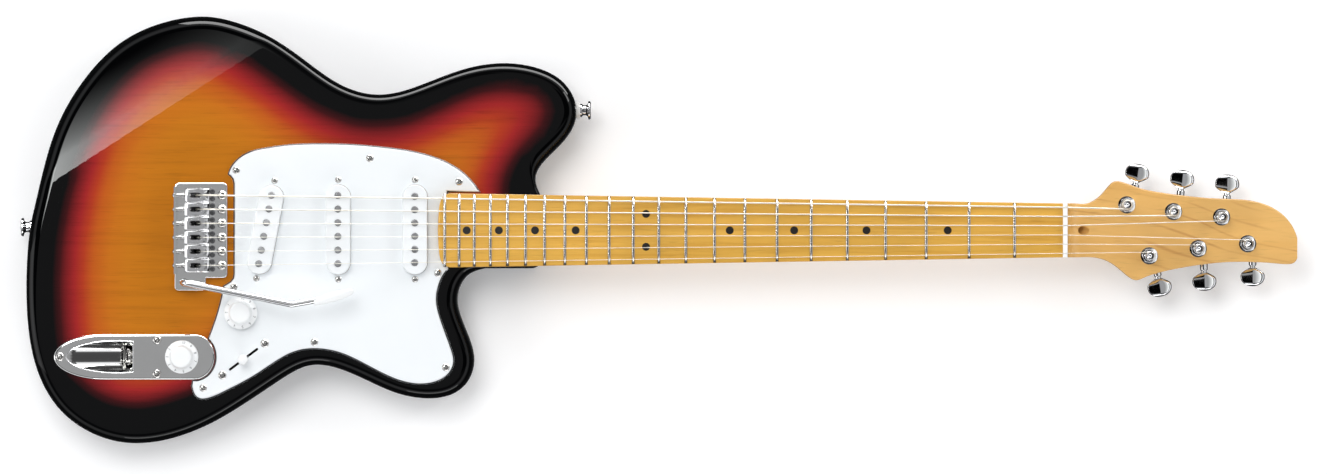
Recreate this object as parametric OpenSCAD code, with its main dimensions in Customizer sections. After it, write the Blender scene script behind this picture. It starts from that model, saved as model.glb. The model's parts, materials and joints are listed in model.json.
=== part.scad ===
// Solid-body electric guitar, lying on its back with its face up.
// The working frame has X along the centreline from the bridge line (x = 0) towards the headstock,
// Y across the strings towards the bass side, and Z up from the flat back. Every node is then moved
// by the same amount, so that the origin is the centre of the footprint on the back plane.

/* [Neck and strings] */
// Distance from the bridge line to the front of the nut
scale_len = 648; // [644:1:652]
// Radius of the playing surface across the fretboard
board_radius = 250; // [240:5:300]
// Thickness of the fretboard at its centre
board_t = 6; // [5.5:0.1:6.5]
// Half width of the fretboard at the nut
nut_half = 20.4; // [20.2:0.1:20.6]
// Half width of the fretboard at its body end
heel_half = 28.1; // [28:0.05:28.2]
// Number of frets
fret_count = 22; // [20:1:22]
// String spacing at the saddles
bridge_spacing = 10.6; // [10.5:0.05:10.65]
// String spacing at the nut
nut_spacing = 6.94; // [6.8:0.02:7]

/* [Body] */
// Thickness of the body slab
body_t = 45; // [44.8:0.1:46]
// Depth of the neck pocket below the body's top
pocket_depth = 16; // [15.5:0.1:16.5]
// Height of the fretboard's centre above the body's top
board_rise = 9.5; // [9.2:0.1:10]
// Thickness of the pickguard
guard_t = 2.3; // [2:0.1:2.5]
// Slope of the forearm contour, in degrees
contour_slope = 13; // [10:1:14]

/* [Headstock and tuners] */
// Step from the fretboard's top down to the headstock's face
head_step = 8.5; // [8:0.1:9]
// Thickness of the headstock
head_t = 14.5; // [14:0.1:15]
// Distance between a tuner's post and its worm shaft
worm_offset = 5.3; // [5.3:0.1:5.6]
// Teeth on a tuner's gear, which is also its ratio
gear_teeth = 15; // [14:1:16]

/* [Hidden] */
$fn = 48;

// ---------- levels ----------
board_top = body_t + board_rise;
board_low = board_top - board_t;
pocket_z = body_t - pocket_depth;
guard_top = body_t + guard_t;
head_top = board_top - head_step;
head_low = head_top - head_t;
nut_t = 3.4;
eps = 0.01;
big = 400;
fit = 0.05;

// ---------- small functions ----------
function drop(y, r) = r - sqrt(r * r - y * y);
function mix(a, b, t) = a + (b - a) * t;
function fret_x(n) = scale_len * pow(2, -n / 12);
function board_end() = fret_x(22) - 5.3;
function half_width(x) = mix(heel_half, nut_half, (x - board_end()) / (scale_len - board_end()));
function turned(p, a) = [p.x * cos(a) - p.y * sin(a), p.x * sin(a) + p.y * cos(a)];

// A smooth curve with continuous curvature through the points, closed or open
function knot(v, i) = v[(i + len(v)) % len(v)];
function gap(p, q) = sqrt(norm(q - p));
function slope(p, m, i) =
    let (a = gap(knot(p, i - 1), p[i]), b = gap(p[i], knot(p, i + 1)))
    (3 * ((knot(p, i + 1) - p[i]) / (b * b) + (p[i] - knot(p, i - 1)) / (a * a))
        - knot(m, i - 1) / a - knot(m, i + 1) / b) / (2 / a + 2 / b);
function end_slope(p, q, m) = 1.5 * (q - p) / gap(p, q) - m / 2;
function slopes(p, m, open, n) = n == 0 ? m :
    let (e = len(p) - 1)
    slopes(p, [for (i = [0:e])
        open && i == 0 ? end_slope(p[0], p[1], m[1]) :
        open && i == e ? end_slope(p[e - 1], p[e], m[e - 1]) :
        slope(p, m, i)], open, n - 1);
function hermite(p, q, m, n, h, t) =
    (2 * t * t * t - 3 * t * t + 1) * p + (t * t * t - 2 * t * t + t) * h * m
    + (3 * t * t - 2 * t * t * t) * q + (t * t * t - t * t) * h * n;
function curve(p, steps, open = false) =
    let (m = slopes(p, [for (q = p) [0, 0]], open, 14))
    [for (i = [0:len(p) - (open ? 2 : 1)], s = [0:steps - 1])
        hermite(p[i], knot(p, i + 1), m[i], knot(m, i + 1), gap(p[i], knot(p, i + 1)), s / steps)];

// ---------- body outline ----------
tongue_end = 253.5;
tongue_half = 28.7;
tongue_corner = 6;
body_knots = [
    [212, -28.7], [198, -34.2], [190.6, -49], [192.5, -64], [200, -83.5], [203, -101],
    [196, -117.5], [179, -126.3], [148, -124], [115, -110], [83, -101.7], [55, -114],
    [11, -142.3], [-24, -157], [-53, -161], [-80, -155.7], [-108, -137.5],
    [-127.5, -104], [-135, -53], [-132.5, 0], [-127, 26], [-116, 69], [-98, 106],
    [-71.5, 137], [-40, 155], [-3, 162], [23, 157.5], [47, 147.5], [74, 129.5],
    [101, 111], [132, 102.7], [164.5, 110.5], [196, 122], [227, 126.5], [254, 122],
    [272.5, 110.5], [280.8, 91], [274, 71.5], [258, 54.5], [250, 42.5], [250.2, 34], [252.8, 28]
];
body_outline = concat(
    curve(body_knots, 6, true), [[252.8, 28], [tongue_end, 26.5]],
    [for (a = [0:15:90]) [tongue_end - tongue_corner + tongue_corner * cos(a),
        tongue_corner - tongue_half - tongue_corner * sin(a)]]
);

// ---------- headstock outline, from the nut outwards ----------
head_knots = [
    [8, 20.2], [18, 20.3], [29, 26.3], [37.3, 35.6], [42.3, 37.2], [56, 32.8],
    [70, 29.4], [88, 26.8], [107, 24.8], [127, 23.8], [140, 22.9], [153, 19.8],
    [164, 14], [172, 6], [177, -4], [178.4, -12], [178, -19.5], [175.5, -24.2],
    [170, -25.6], [158, -24.7], [140, -23.9], [124, -24.1], [107, -25.7],
    [92, -28], [75, -31.5], [62, -35.7], [56.5, -37.7], [51, -35.6],
    [41, -27.4], [31, -22], [20, -20.3], [8, -20.3], [1, -16], [1, 16]
];

// ---------- pickguard outline, in stretches between its corners ----------
guard_top_edge = [
    [17.6, 42.2], [19.3, 47], [25, 54.2], [35, 60], [47, 62.7], [64, 65],
    [86, 65.8], [112, 65.2], [137, 63], [160, 59.5], [179, 53.7], [192, 46.7],
    [201, 38.8], [209, 28.6]
];
guard_low_edge = [
    [184.8, -29], [180, -35.6], [176.6, -45.5], [176, -54], [178.4, -65],
    [184, -81], [188.5, -94.5], [188.6, -101.5], [184.5, -109], [176, -114.5],
    [165, -116.6], [154, -115.6], [141, -111.5], [122, -102], [103, -93.2],
    [83, -89.9], [64, -94], [40, -109], [18, -121], [-1, -128], [-7.5, -124.8],
    [-10, -117.5]
];
guard_bridge_edge = [[2.4, -82], [8, -66.8], [12.5, -50.5], [14.6, -39.7]];
guard_notch = [[19.4, -38.6], [21.5, -36], [22, -33], [22, 35.5], [21.3, 38.6], [19.6, 40.7]];

// ---------- positions ----------
guard_screw_at = [
    [24.3, 45.4], [125.1, 54.4], [192.5, 36.8], [176.5, -32.3],
    [182.4, -103.5], [83.2, -84.4], [-0.8, -119], [22.3, -42.6]
];
pickup_y = 0.6;
pickups = [[159.2, 0, 10], [101.2, 0, 10.3], [46.3, -10.5, 10.5]];
pickup_screw_reach = 37.5;
cover_w = 18.8;
cover_l = 68;
cover_top = board_top - 0.2;
volume_at = [27.7, -62.1];
tone_at = [-16.9, -95.6];
switch_at = [29.7, -97.4];
switch_turn = 36.9;
switch_screw_reach = 20;
switch_pivot_z = body_t - 17;
plate_t = 1.6;
plate_y = -95.6;
plate_x = [-113.8, 8];
plate_half = 17.2;
plate_screw_at = [[-109.2, plate_y], [-35.8, plate_y + 12.8], [-35.8, plate_y - 12.8]];
ferrule_at = [[192, 18.5], [192, -18.5], [236, 18.5], [236, -18.5]];
cover_screw_at = [[-23, 38], [35, 38], [93, 38], [-23, -38], [35, -38], [93, -38]];
string_d = [1.17, 0.91, 0.66, 0.43, 0.33, 0.25];
function saddle_y(i) = (2.5 - i) * bridge_spacing;
function nut_y(i) = (2.5 - i) * nut_spacing;

// Posts of the six tuners, measured from the nut's front, each with the tilt of its worm shaft
tuner_posts = [
    [48.6, 19.3, 9], [83.9, 14.2, 6], [120.2, 10.1, 1],
    [139.9, -10.1, 0], [102.5, -13.8, 2], [65.6, -19.2, 9]
];
function post_at(i) = [scale_len + tuner_posts[i].x, tuner_posts[i].y];
function post_side(i) = i < 3 ? 1 : -1;

// ---------- levels of the strings ----------
saddle_rise = 4.2;
nut_rise = 1.5;
function crest_z(i) = board_top + saddle_rise - drop(saddle_y(i), board_radius);
function slot_z(i) = board_top + nut_rise - drop(nut_y(i), board_radius);
function saddle_point(i) = [0, saddle_y(i), crest_z(i) + string_d[i] / 2 + fit];
function nut_point(i) = [scale_len, nut_y(i), slot_z(i) + string_d[i] / 2];
post_r = 3;
waist_r = 2.5;
wrap_z = head_top + 7;
function wrap_r(i) = waist_r + string_d[i] / 2 + fit;
function tangent_point(i) =
    let (b = nut_point(i), c = post_at(i), v = [c.x - b.x, c.y - b.y], d = norm(v),
        r = wrap_r(i) + fit, a = atan2(v.y, v.x) - post_side(i) * asin(r / d), l = sqrt(d * d - r * r))
    [b.x + l * cos(a), b.y + l * sin(a), wrap_z];

// ---------- tremolo ----------
pivot_x = 13.6;
bridge_z = body_t + 2;
bridge_t = 2;
bridge_x = [-22.3, 17.5];
bridge_half = 36;
arm_at = [-15.2, -39.3];
arm_r = 2.5;
hole_x = -6.2;
block_x = [-13.5, 1.5];
block_low = body_t - 35;
spring_y = [-13, 0, 13];
spring_z = block_low + 5;
claw_x = 86;
cover_t = 2;
cover_x = [-30, 101];
cover_half = 45;

// ---------- jack ----------
jack_tilt = 18;
cup_r = 11.6;
cup_wall_x = -54;
jack_drop = 4.2;
function cup_axis_z(x) = body_t + plate_t - (x + 66) * tan(jack_tilt);

// ---------- strap buttons ----------
tail_x = -132;
horn_x = 280.6;
button_h = 8;
washer_t = 3;

// ---------- placing ----------
low_x = tail_x - button_h;
head_end = scale_len + max([for (p = curve(head_knots, 8)) p.x]);
high_y = max([for (p = body_outline) p.y]);
low_y = min([for (p = body_outline) p.y]);
shift = [-(low_x + head_end) / 2, -(low_y + high_y) / 2, 0];

module place() translate(shift) children();

// ---------- general shapes ----------
module rod(p, q, r) {
    v = q - p;
    translate(p)
        rotate([0, acos(v.z / norm(v)), atan2(v.y, v.x)])
            cylinder(r = r, h = norm(v));
}

// A bent rod through the points, with a ball a little thicker than the rod at each bend
module bent_rod(points, r, ball) {
    for (i = [1:len(points) - 1]) rod(points[i - 1], points[i], r);
    for (i = [1:len(points) - 2]) translate(points[i]) sphere(ball);
}

module along_x(h, r) rotate([0, 90, 0]) cylinder(r = r, h = h);

module at_each(points, z = 0) for (p = points) translate([p.x, p.y, z]) children();

module rounded_rect(x, y, r) {
    w = x[1] - x[0];
    h = y[1] - y[0];
    translate([x[0] + r, y[0]]) square([w - 2 * r, h]);
    translate([x[0], y[0] + r]) square([w, h - 2 * r]);
    for (px = [x[0] + r, x[1] - r], py = [y[0] + r, y[1] - r]) translate([px, py]) circle(r);
}

module slab(x, y, z, r) translate([0, 0, z[0]]) linear_extrude(z[1] - z[0]) rounded_rect(x, y, r);

// A stadium standing across the strings
module stadium(w, l) {
    translate([-w / 2, -(l - w) / 2]) square([w, l - w]);
    for (s = [-1, 1]) translate([0, s * (l - w) / 2]) circle(w / 2);
}

// A wood or machine screw: an oval cross-recessed head standing on z = 0 and a shank below
module screw(head_r, head_h, shank_r, shank_l, recess = true) {
    ball = (head_r * head_r + head_h * head_h) / (2 * head_h);
    difference() {
        union() {
            intersection() {
                translate([0, 0, head_h - ball]) sphere(ball);
                cylinder(r = head_r, h = head_h);
            }
            translate([0, 0, -shank_l]) cylinder(r = shank_r, h = shank_l);
        }
        if (recess) cross_recess(head_r * 1.15, head_h * 0.2);
    }
}

module cross_recess(l, z)
    for (a = [0, 90]) rotate(a) translate([-l / 2, -l / 9, z]) cube([l, l / 4.5, 4]);

// The nth pickup's own frame, with its length across the strings
module at_pickup(n) translate([pickups[n].x, pickup_y, 0]) rotate(pickups[n].y) children();

// The nth tuner's own frame, with its post at the origin and its button towards +Y
module at_tuner(n) {
    side = post_side(n);
    translate([post_at(n).x, post_at(n).y, 0])
        mirror([0, side > 0 ? 0 : 1, 0]) rotate(-tuner_posts[n].z) children();
}

// ---------- body ----------
module neck_pocket() {
    x0 = board_end() + 8;
    h0 = half_width(x0) + fit;
    h1 = half_width(tongue_end + 2) + fit;
    translate([0, 0, pocket_z])
        linear_extrude(big)
            polygon([[x0, -h0], [tongue_end + 2, -h1], [tongue_end + 2, h1], [x0, h0]]);
}

// Forearm contour on the bass side of the lower bout
module forearm_cut() {
    translate([-115, 42, body_t])
        rotate([0, 0, atan2(102, 159)])
            rotate([-contour_slope, 0, 0])
                translate([-120, 0, 0]) cube([big, big, big]);
}

module cable_routes() {
    for (r = [[-86, -41, 13.5], [-46, -25, 9.5], [-31, 2, 13]])
        slab([r[0], r[1]], [plate_y - r[2], plate_y + r[2]], [body_t - 32, body_t + 1], 5);
    cup_space(cup_r + 1.7, cup_wall_x + 2);
    rod([-2, plate_y + 5, body_t - 20], [24, -80, body_t - 20], 4);
}

module body_cavities() {
    slab([28.5, 175], [-42, 43], [body_t - 18, body_t + 1], 6);
    slab([12.5, 70], [-88, -40], [body_t - 36, body_t + 1], 6);
    translate([switch_at.x - 17, switch_at.y - 10, body_t - 30]) cylinder(r = 7, h = 31);
    translate([switch_at.x, switch_at.y, body_t - 36])
        rotate(switch_turn) linear_extrude(37) rounded_rect([-25, 30], [-8.5, 8.5], 5);
    slab([-21, 6], [-36, 35], [-1, body_t + 1], 3);
    slab([-22.1, -2], [-44, -30], [body_t - 20, body_t + 1], 3);
    slab([-21, 94], [-36, 36], [-1, body_t - 23], 5);
    slab(cover_x, [-cover_half, cover_half], [-1, cover_t], 8);
    cable_routes();
}

module body_screw_holes() {
    at_each(guard_screw_at, body_t - 15) cylinder(r = 1.5, h = 20);
    at_each(cover_screw_at, -1) cylinder(r = 1.5, h = 14);
    at_each(plate_screw_at, body_t - 16) cylinder(r = 1.6, h = 20);
    for (i = [0:5]) translate([pivot_x, saddle_y(i), body_t - 22]) cylinder(r = 1.9, h = 30);
    at_each(ferrule_at, -1) {
        cylinder(r = 2.4, h = 40);
        cylinder(r = 7.5, h = 5);
    }
    for (s = [-1, 1]) translate([claw_x - 2, s * 19, spring_z]) along_x(40, 2.2);
    for (b = [0, 1]) at_strap_button(b) translate([0, 0, -26]) cylinder(r = 2.05, h = 30);
}

module body() place() color("darkorange")
    difference() {
        linear_extrude(body_t) polygon(body_outline);
        neck_pocket();
        forearm_cut();
        body_cavities();
        body_screw_holes();
        at_strap_seats();
    }

// ---------- neck ----------
shaft_from = 256;
shaft_deep = [22.5, 21];

module neck_slice(x, half, z_low) {
    translate([x, 0, board_low])
        rotate([90, 0, 90])
            linear_extrude(0.5)
                intersection() {
                    scale([half, board_low - z_low]) circle(1, $fn = 40);
                    translate([-big / 2, -big]) square([big, big]);
                }
}

module heel() {
    x0 = board_end() + 8;
    translate([0, 0, pocket_z + fit])
        linear_extrude(board_low - pocket_z - fit)
            polygon([
                [x0 + fit, -half_width(x0)], [shaft_from + 6, -half_width(shaft_from + 6)],
                [shaft_from + 6, half_width(shaft_from + 6)], [x0 + fit, half_width(x0)]
            ]);
}

module headstock() {
    translate([scale_len, 0, head_low]) linear_extrude(head_t) polygon(curve(head_knots, 8));
    difference() {
        translate([scale_len - 6, -nut_half, head_top - 8])
            cube([20, 2 * nut_half, board_top - head_top + 5.5]);
        translate([scale_len + 14, -big / 2, head_top + 9])
            rotate([-90, 0, 0]) cylinder(r = 9, h = big);
        translate([scale_len, -big / 2, board_top - 4]) cube([nut_t, big, 10]);
        translate([scale_len - 10, -big / 2, board_low]) cube([10, big, 20]);
    }
}

module neck_shape() {
    heel();
    hull() {
        neck_slice(shaft_from, half_width(shaft_from), board_top - shaft_deep[0]);
        neck_slice(scale_len - 20, half_width(scale_len - 20), board_top - shaft_deep[1]);
    }
    hull() {
        neck_slice(scale_len - 20.2, half_width(scale_len - 20), board_top - shaft_deep[1]);
        translate([scale_len + 14, -19.8, head_low]) cube([1, 39.6, head_t - 2]);
    }
    headstock();
}

// Height of the truss rod, which comes out on the headstock through a slanted bore
rod_z = board_low - 6.3;

module neck() place() color("burlywood")
    difference() {
        neck_shape();
        translate([board_end() + 14, -3.2, board_low - 9.5])
            cube([scale_len - board_end() - 10, 6.4, 9.5 + eps]);
        translate([scale_len - 6, 0, rod_z]) along_x(19, 3.1);
        translate([scale_len + 18.9, 0, head_top])
            rotate([0, 60, 0]) translate([0, 0, -9]) cylinder(r = 3.25, h = 30);
        for (i = [0:5])
            translate([post_at(i).x, post_at(i).y, head_low - 1]) cylinder(r = 5, h = head_t + 2);
        at_each(ferrule_at, pocket_z - 1) cylinder(r = 2.25, h = 17);
        for (i = [0:5]) at_tuner(i) translate([-8.9, -5.5, head_low - 1]) cylinder(r = 1.1, h = 10);
    }

board_knots = [
    [9, 27.9], [5, 26.6], [2, 22], [0.5, 12], [0, 0], [0.5, -12], [2, -22], [5, -26.6], [9, -27.9]
];

module board_2d() {
    end = [for (p = board_knots) p + [board_end(), 0]];
    polygon(concat(
        curve(end, 5, true), [end[len(end) - 1], [scale_len, -nut_half], [scale_len, nut_half]]
    ));
}

module radius_cylinder(extra = 0)
    translate([0, 0, board_top - board_radius]) along_x(1000, board_radius + extra, $fn = 720);

marker_frets = [3, 5, 7, 9, 15, 17, 19, 21];
function marker_x(n) = (fret_x(n) + fret_x(n - 1)) / 2;

module markers(extra = 0) {
    for (n = marker_frets)
        translate([marker_x(n), 0, board_top - 2 - extra]) cylinder(r = 3 + extra, h = 4);
    for (s = [-1, 1])
        translate([marker_x(12), s * 12.4, board_top - 2.4 - extra]) cylinder(r = 3 + extra, h = 4);
}

module side_markers(reach, extra = 0) {
    for (n = concat(marker_frets, [12]))
        translate([marker_x(n), half_width(marker_x(n)) - 1.5, board_low + 2.6])
            rotate([-90, 0, 0]) cylinder(r = 1 + extra, h = reach);
}

module fretboard() place() color("goldenrod")
    difference() {
        intersection() {
            translate([0, 0, board_low]) linear_extrude(board_t) board_2d();
            radius_cylinder();
        }
        markers(0.02);
        side_markers(4, 0.02);
        for (n = [1:fret_count])
            translate([fret_x(n) - 0.28, -40, board_low + 2.3]) cube([0.56, 80, 10]);
    }

module fret_markers() place() color("dimgray") {
    intersection() {
        markers();
        radius_cylinder();
    }
    side_markers(1.5);
}

module fret_profile() {
    difference() {
        translate([board_radius - 0.1, 0]) circle(1.2, $fn = 32);
        translate([board_radius - 5, -2]) square([5 + eps, 4]);
    }
    translate([board_radius - 1.9, -0.25]) square([2, 0.5]);
}

module frets() place() color("silver")
    for (n = [1:fret_count]) {
        a = asin((half_width(fret_x(n)) - 0.4) / board_radius);
        translate([fret_x(n), 0, board_top - board_radius])
            rotate([0, 90, 0])
                rotate([0, 0, 180 - a])
                    rotate_extrude(angle = 2 * a, $fn = 360) fret_profile();
    }

module nut() place() color("white")
    difference() {
        intersection() {
            translate([scale_len, -nut_half, board_top - 4]) cube([nut_t, 2 * nut_half, 20]);
            radius_cylinder(2.6);
        }
        for (i = [0:5]) nut_slot(nut_point(i), tangent_point(i), string_d[i] / 2 + fit);
    }

module nut_slot(p, q, r) {
    v = q - p;
    translate(p)
        rotate([0, acos(v.z / norm(v)) - 90, atan2(v.y, v.x)])
            translate([-5, -r, -r]) cube([20, 2 * r, 8]);
}

module truss_rod() place() color("slategray") {
    translate([board_end() + 16, 0, rod_z]) along_x(scale_len - board_end() - 20.9, 2.6);
    translate([scale_len - 5, 0, rod_z])
        difference() {
            along_x(11, 2.9);
            translate([4, 0, 0]) rotate([0, 90, 0]) cylinder(r = 2, h = 10, $fn = 6);
        }
}

module neck_ferrules() place() color("silver")
    at_each(ferrule_at)
        difference() {
            cylinder(r = 7.5, h = 4);
            cylinder(r = 2.4, h = 9, center = true);
            translate([0, 0, -eps]) cylinder(r = 4.6, h = 2.2);
        }

module neck_screws() place() color("silver")
    at_each(ferrule_at, 2.2)
        mirror([0, 0, 1]) screw(4.2, 1.8, 2.2, 37);

// ---------- pickguard and pickups ----------
module guard_2d() {
    x0 = board_end() + 7.8;
    difference() {
        polygon(concat(
            curve(guard_top_edge, 6, true), [[209, 28.6], [x0, 28.7], [x0, -29]],
            curve(guard_low_edge, 6, true), [[-10, -117.5], [-9, -113], [-5, -84]],
            curve(guard_bridge_edge, 5, true), guard_notch
        ));
        polygon(plate_points(0.35));
        for (n = [0:2]) translate([pickups[n].x, pickup_y]) rotate(pickups[n].y) {
            stadium(cover_w + 0.9, cover_l + 0.9);
            for (s = [-1, 1]) translate([0, s * pickup_screw_reach]) circle(1.55);
        }
        for (p = guard_screw_at) translate(p) circle(1.6);
        translate(volume_at) circle(3.7);
        translate(switch_at) rotate(switch_turn) {
            rounded_rect([-13.6, 13.6], [-0.9, 0.9], 0.8);
            for (s = [-1, 1]) translate([s * switch_screw_reach, 0]) circle(1.8);
        }
    }
}

module pickguard() place() color("whitesmoke")
    translate([0, 0, body_t]) linear_extrude(guard_t) guard_2d();

module pickguard_screws() place() color("silver") {
    at_each(guard_screw_at, guard_top) screw(2.9, 1.1, 1.45, guard_t + 12);
    translate([switch_at.x, switch_at.y, guard_top]) rotate(switch_turn)
        for (s = [-1, 1]) translate([s * switch_screw_reach, 0, 0]) screw(3.2, 1.2, 1.7, 7);
}

module pickup_cover(n) {
    at_pickup(n)
        difference() {
            translate([0, 0, body_t - 8]) linear_extrude(cover_top - body_t + 8) stadium(cover_w, cover_l);
            translate([0, 0, body_t - 9])
                linear_extrude(cover_top - body_t + 7.6) stadium(cover_w - 2.8, cover_l - 2.8);
            for (i = [0:5])
                translate([0, (2.5 - i) * pickups[n].z, cover_top - 5]) cylinder(r = 2.6, h = 10);
        }
}

module neck_pickup_cover() place() color("white") pickup_cover(0);
module middle_pickup_cover() place() color("white") pickup_cover(1);
module bridge_pickup_cover() place() color("white") pickup_cover(2);

module pickup_coils() place() color("black")
    for (n = [0:2]) at_pickup(n)
        difference() {
            union() {
                translate([0, 0, body_t - 11]) linear_extrude(2.4) stadium(20, 84);
                translate([0, 0, body_t - 8.6]) linear_extrude(13) stadium(14, 60);
                translate([0, 0, body_t + 4.4]) linear_extrude(2) stadium(15.4, 64);
            }
            for (i = [0:5]) translate([0, (2.5 - i) * pickups[n].z, 0]) cylinder(r = 2.4, h = 90);
            for (s = [-1, 1]) translate([0, s * pickup_screw_reach, 0]) cylinder(r = 1.5, h = 90);
        }

module pole_pieces() place() color("gray")
    for (n = [0:2]) at_pickup(n)
        for (i = [0:5]) translate([0, (2.5 - i) * pickups[n].z, body_t - 10.5])
            cylinder(r = 2.4, h = cover_top - body_t + 11);

module pickup_screws() place() color("silver")
    for (n = [0:2]) at_pickup(n)
        for (s = [-1, 1]) translate([0, s * pickup_screw_reach, guard_top]) screw(2.5, 1.1, 1.45, 18);

// ---------- controls ----------
knob_r = 12.5;
knob_h = 12.4;

module pot(at, panel_top, panel_t) {
    translate([at.x, at.y, panel_top])
        difference() {
            union() {
                translate([0, 0, -panel_t - 12]) cylinder(r = 11.5, h = 11.9);
                translate([0, 0, -panel_t - 0.2]) cylinder(r = 3.6, h = panel_t + 2.6);
                translate([0, 0, fit]) cylinder(r = 6, h = 2, $fn = 6);
            }
            translate([0, 0, -panel_t - 9]) cylinder(r = 3.06, h = 30);
        }
}

module knob(at, panel_top, panel_t) {
    translate([at.x, at.y, panel_top]) {
        translate([0, 0, -panel_t - 8.9]) cylinder(r = 3, h = panel_t + 19);
        difference() {
            union() {
                translate([0, 0, 2.7]) cylinder(r = knob_r, h = 1.2);
                translate([0, 0, 3.9]) cylinder(r1 = knob_r, r2 = 8.6, h = 2.6);
                translate([0, 0, 6.4]) cylinder(r1 = 8.6, r2 = 7.6, h = knob_h - 3.8);
            }
            cylinder(r = 7, h = 4.2);
            cylinder(r = 3, h = 10.1);
        }
    }
}

module volume_pot() place() color("silver") pot(volume_at, guard_top, guard_t);
module tone_pot() place() color("silver") pot(tone_at, body_t + plate_t, plate_t);
module volume_knob() place() color("white") knob(volume_at, guard_top, guard_t);
module tone_knob() place() color("white") knob(tone_at, body_t + plate_t, plate_t);

module at_switch() translate([switch_at.x, switch_at.y, 0]) rotate(switch_turn) children();

module selector_switch() place() color("silver") at_switch()
    difference() {
        union() {
            translate([-24, -6, body_t - 1.4]) cube([48, 12, 1.3]);
            for (y = [-3.4, 2.2]) translate([-18, y, body_t - 26]) cube([36, 1.2, 25]);
            translate([-20, 3.4, body_t - 28]) cube([40, 1.6, 20]);
            translate([0, 2.4, switch_pivot_z]) rotate([90, 0, 0]) cylinder(r = 1.5, h = 5.6);
        }
        translate([-14, -1.1, body_t - 2]) cube([28, 2.2, 4]);
        for (s = [-1, 1]) translate([s * switch_screw_reach, 0, 0]) cylinder(r = 1.72, h = 90);
    }

module switch_lever() place() color("silver") at_switch()
    difference() {
        union() {
            translate([-2.4, -0.6, switch_pivot_z]) cube([4.8, 1.2, guard_top - switch_pivot_z + 9]);
            translate([0, 0.6, switch_pivot_z]) rotate([90, 0, 0]) cylinder(r = 4, h = 1.2);
        }
        translate([0, 5, switch_pivot_z]) rotate([90, 0, 0]) cylinder(r = 1.56, h = 10);
    }

module switch_tip() place() color("white") at_switch()
    difference() {
        translate([0, 0, guard_top + 4.4]) {
            cylinder(r1 = 3.4, r2 = 4, h = 5.6);
            translate([0, 0, 5.6]) intersection() {
                translate([0, 0, -3.2]) sphere(5.1);
                cylinder(r = 4, h = 3);
            }
        }
        translate([-2.4, -0.6, guard_top]) cube([4.8, 1.2, 9]);
    }

// ---------- jack plate ----------
plate_left = -76;
plate_right = -7.5;

// The plate's outline, grown by a margin: two half ellipses joined by straight sides
function half_ellipse(x, rx, ry, a) = [x + rx * cos(a), plate_y + ry * sin(a)];
function plate_points(m = 0) = concat(
    [for (a = [-90:6:90]) half_ellipse(plate_right, plate_x[1] - plate_right + m, plate_half + m, a)],
    [for (a = [90:6:270]) half_ellipse(plate_left, plate_left - plate_x[0] + m, plate_half + m, a)]
);

module jack_frame()
    translate([cup_wall_x, plate_y, cup_axis_z(cup_wall_x) - jack_drop])
        rotate([0, jack_tilt - 90, 0]) children();

module cup_space(r, x_end) {
    intersection() {
        translate([cup_wall_x, plate_y, cup_axis_z(cup_wall_x)])
            rotate([0, jack_tilt - 90, 0]) translate([0, 0, -40]) cylinder(r = r, h = 120);
        translate([-140, plate_y - 40, 0]) cube([x_end + 140, 80, body_t + plate_t + 20]);
    }
}

module jack_plate() place() color("silver")
    difference() {
        union() {
            translate([0, 0, body_t]) linear_extrude(plate_t) polygon(plate_points());
            intersection() {
                cup_space(cup_r + 1.2, cup_wall_x + 1.4);
                translate([-140, -140, 0]) cube([140, 140, body_t + plate_t / 2]);
            }
        }
        cup_space(cup_r, cup_wall_x);
        jack_frame() cylinder(r = 4.75, h = 30, center = true);
        at_each(plate_screw_at) cylinder(r = 1.6, h = 90);
        translate([tone_at.x, tone_at.y, 0]) cylinder(r = 3.7, h = 90);
    }

module jack_plate_screws() place() color("silver")
    at_each(plate_screw_at, body_t + plate_t) screw(3.3, 1.3, 1.55, plate_t + 14);

module jack_socket() place() color("silver") jack_frame() {
    difference() {
        union() {
            translate([0, 0, -7]) cylinder(r = 4.7, h = 12);
            translate([0, 0, -22]) cylinder(r = 7.5, h = 15 + fit);
        }
        translate([0, 0, -21]) cylinder(r = 3.25, h = 40);
    }
    translate([0, 0, 3.9])
        difference() {
            cylinder(r = 6.2, h = 1, center = true);
            cylinder(r = 4.72, h = 3, center = true);
        }
}

// ---------- tremolo ----------
module arm_socket_2d() rounded_rect([bridge_x[0], 1.4], [-45.5, -bridge_half + 3], 2.5);

module bridge_plate() place() color("silver")
    difference() {
        union() {
            slab(bridge_x, [-bridge_half, bridge_half], [bridge_z, bridge_z + bridge_t], 3);
            translate([0, 0, bridge_z]) linear_extrude(bridge_t) arm_socket_2d();
            translate([bridge_x[0], -bridge_half + 3, bridge_z])
                cube([1.8, 2 * bridge_half - 6, 10.6]);
        }
        for (i = [0:5]) {
            translate([pivot_x, saddle_y(i), 0]) cylinder(r = 2.7, h = 90);
            translate([hole_x, saddle_y(i), 0]) cylinder(r = 2, h = 90);
            translate([bridge_x[0] - 5, saddle_y(i), bridge_z + 7.3]) along_x(10, 1.4);
        }
        translate([arm_at.x, arm_at.y, 0]) cylinder(r = arm_r + 0.3, h = 90);
    }

saddle_x = [-14.2, 4.2];

module saddle_side(i) {
    top = crest_z(i);
    polygon([[saddle_x[0], bridge_z + 4.6], [saddle_x[0], top - 2], [-3, top - 1.4],
        [-1.2, top - 0.16], [-0.6, top], [0.6, top], [1.6, top - 0.5], [2.4, top - 1.6],
        [saddle_x[1], top - 2], [saddle_x[1], bridge_z + 4.6]]);
}

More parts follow.
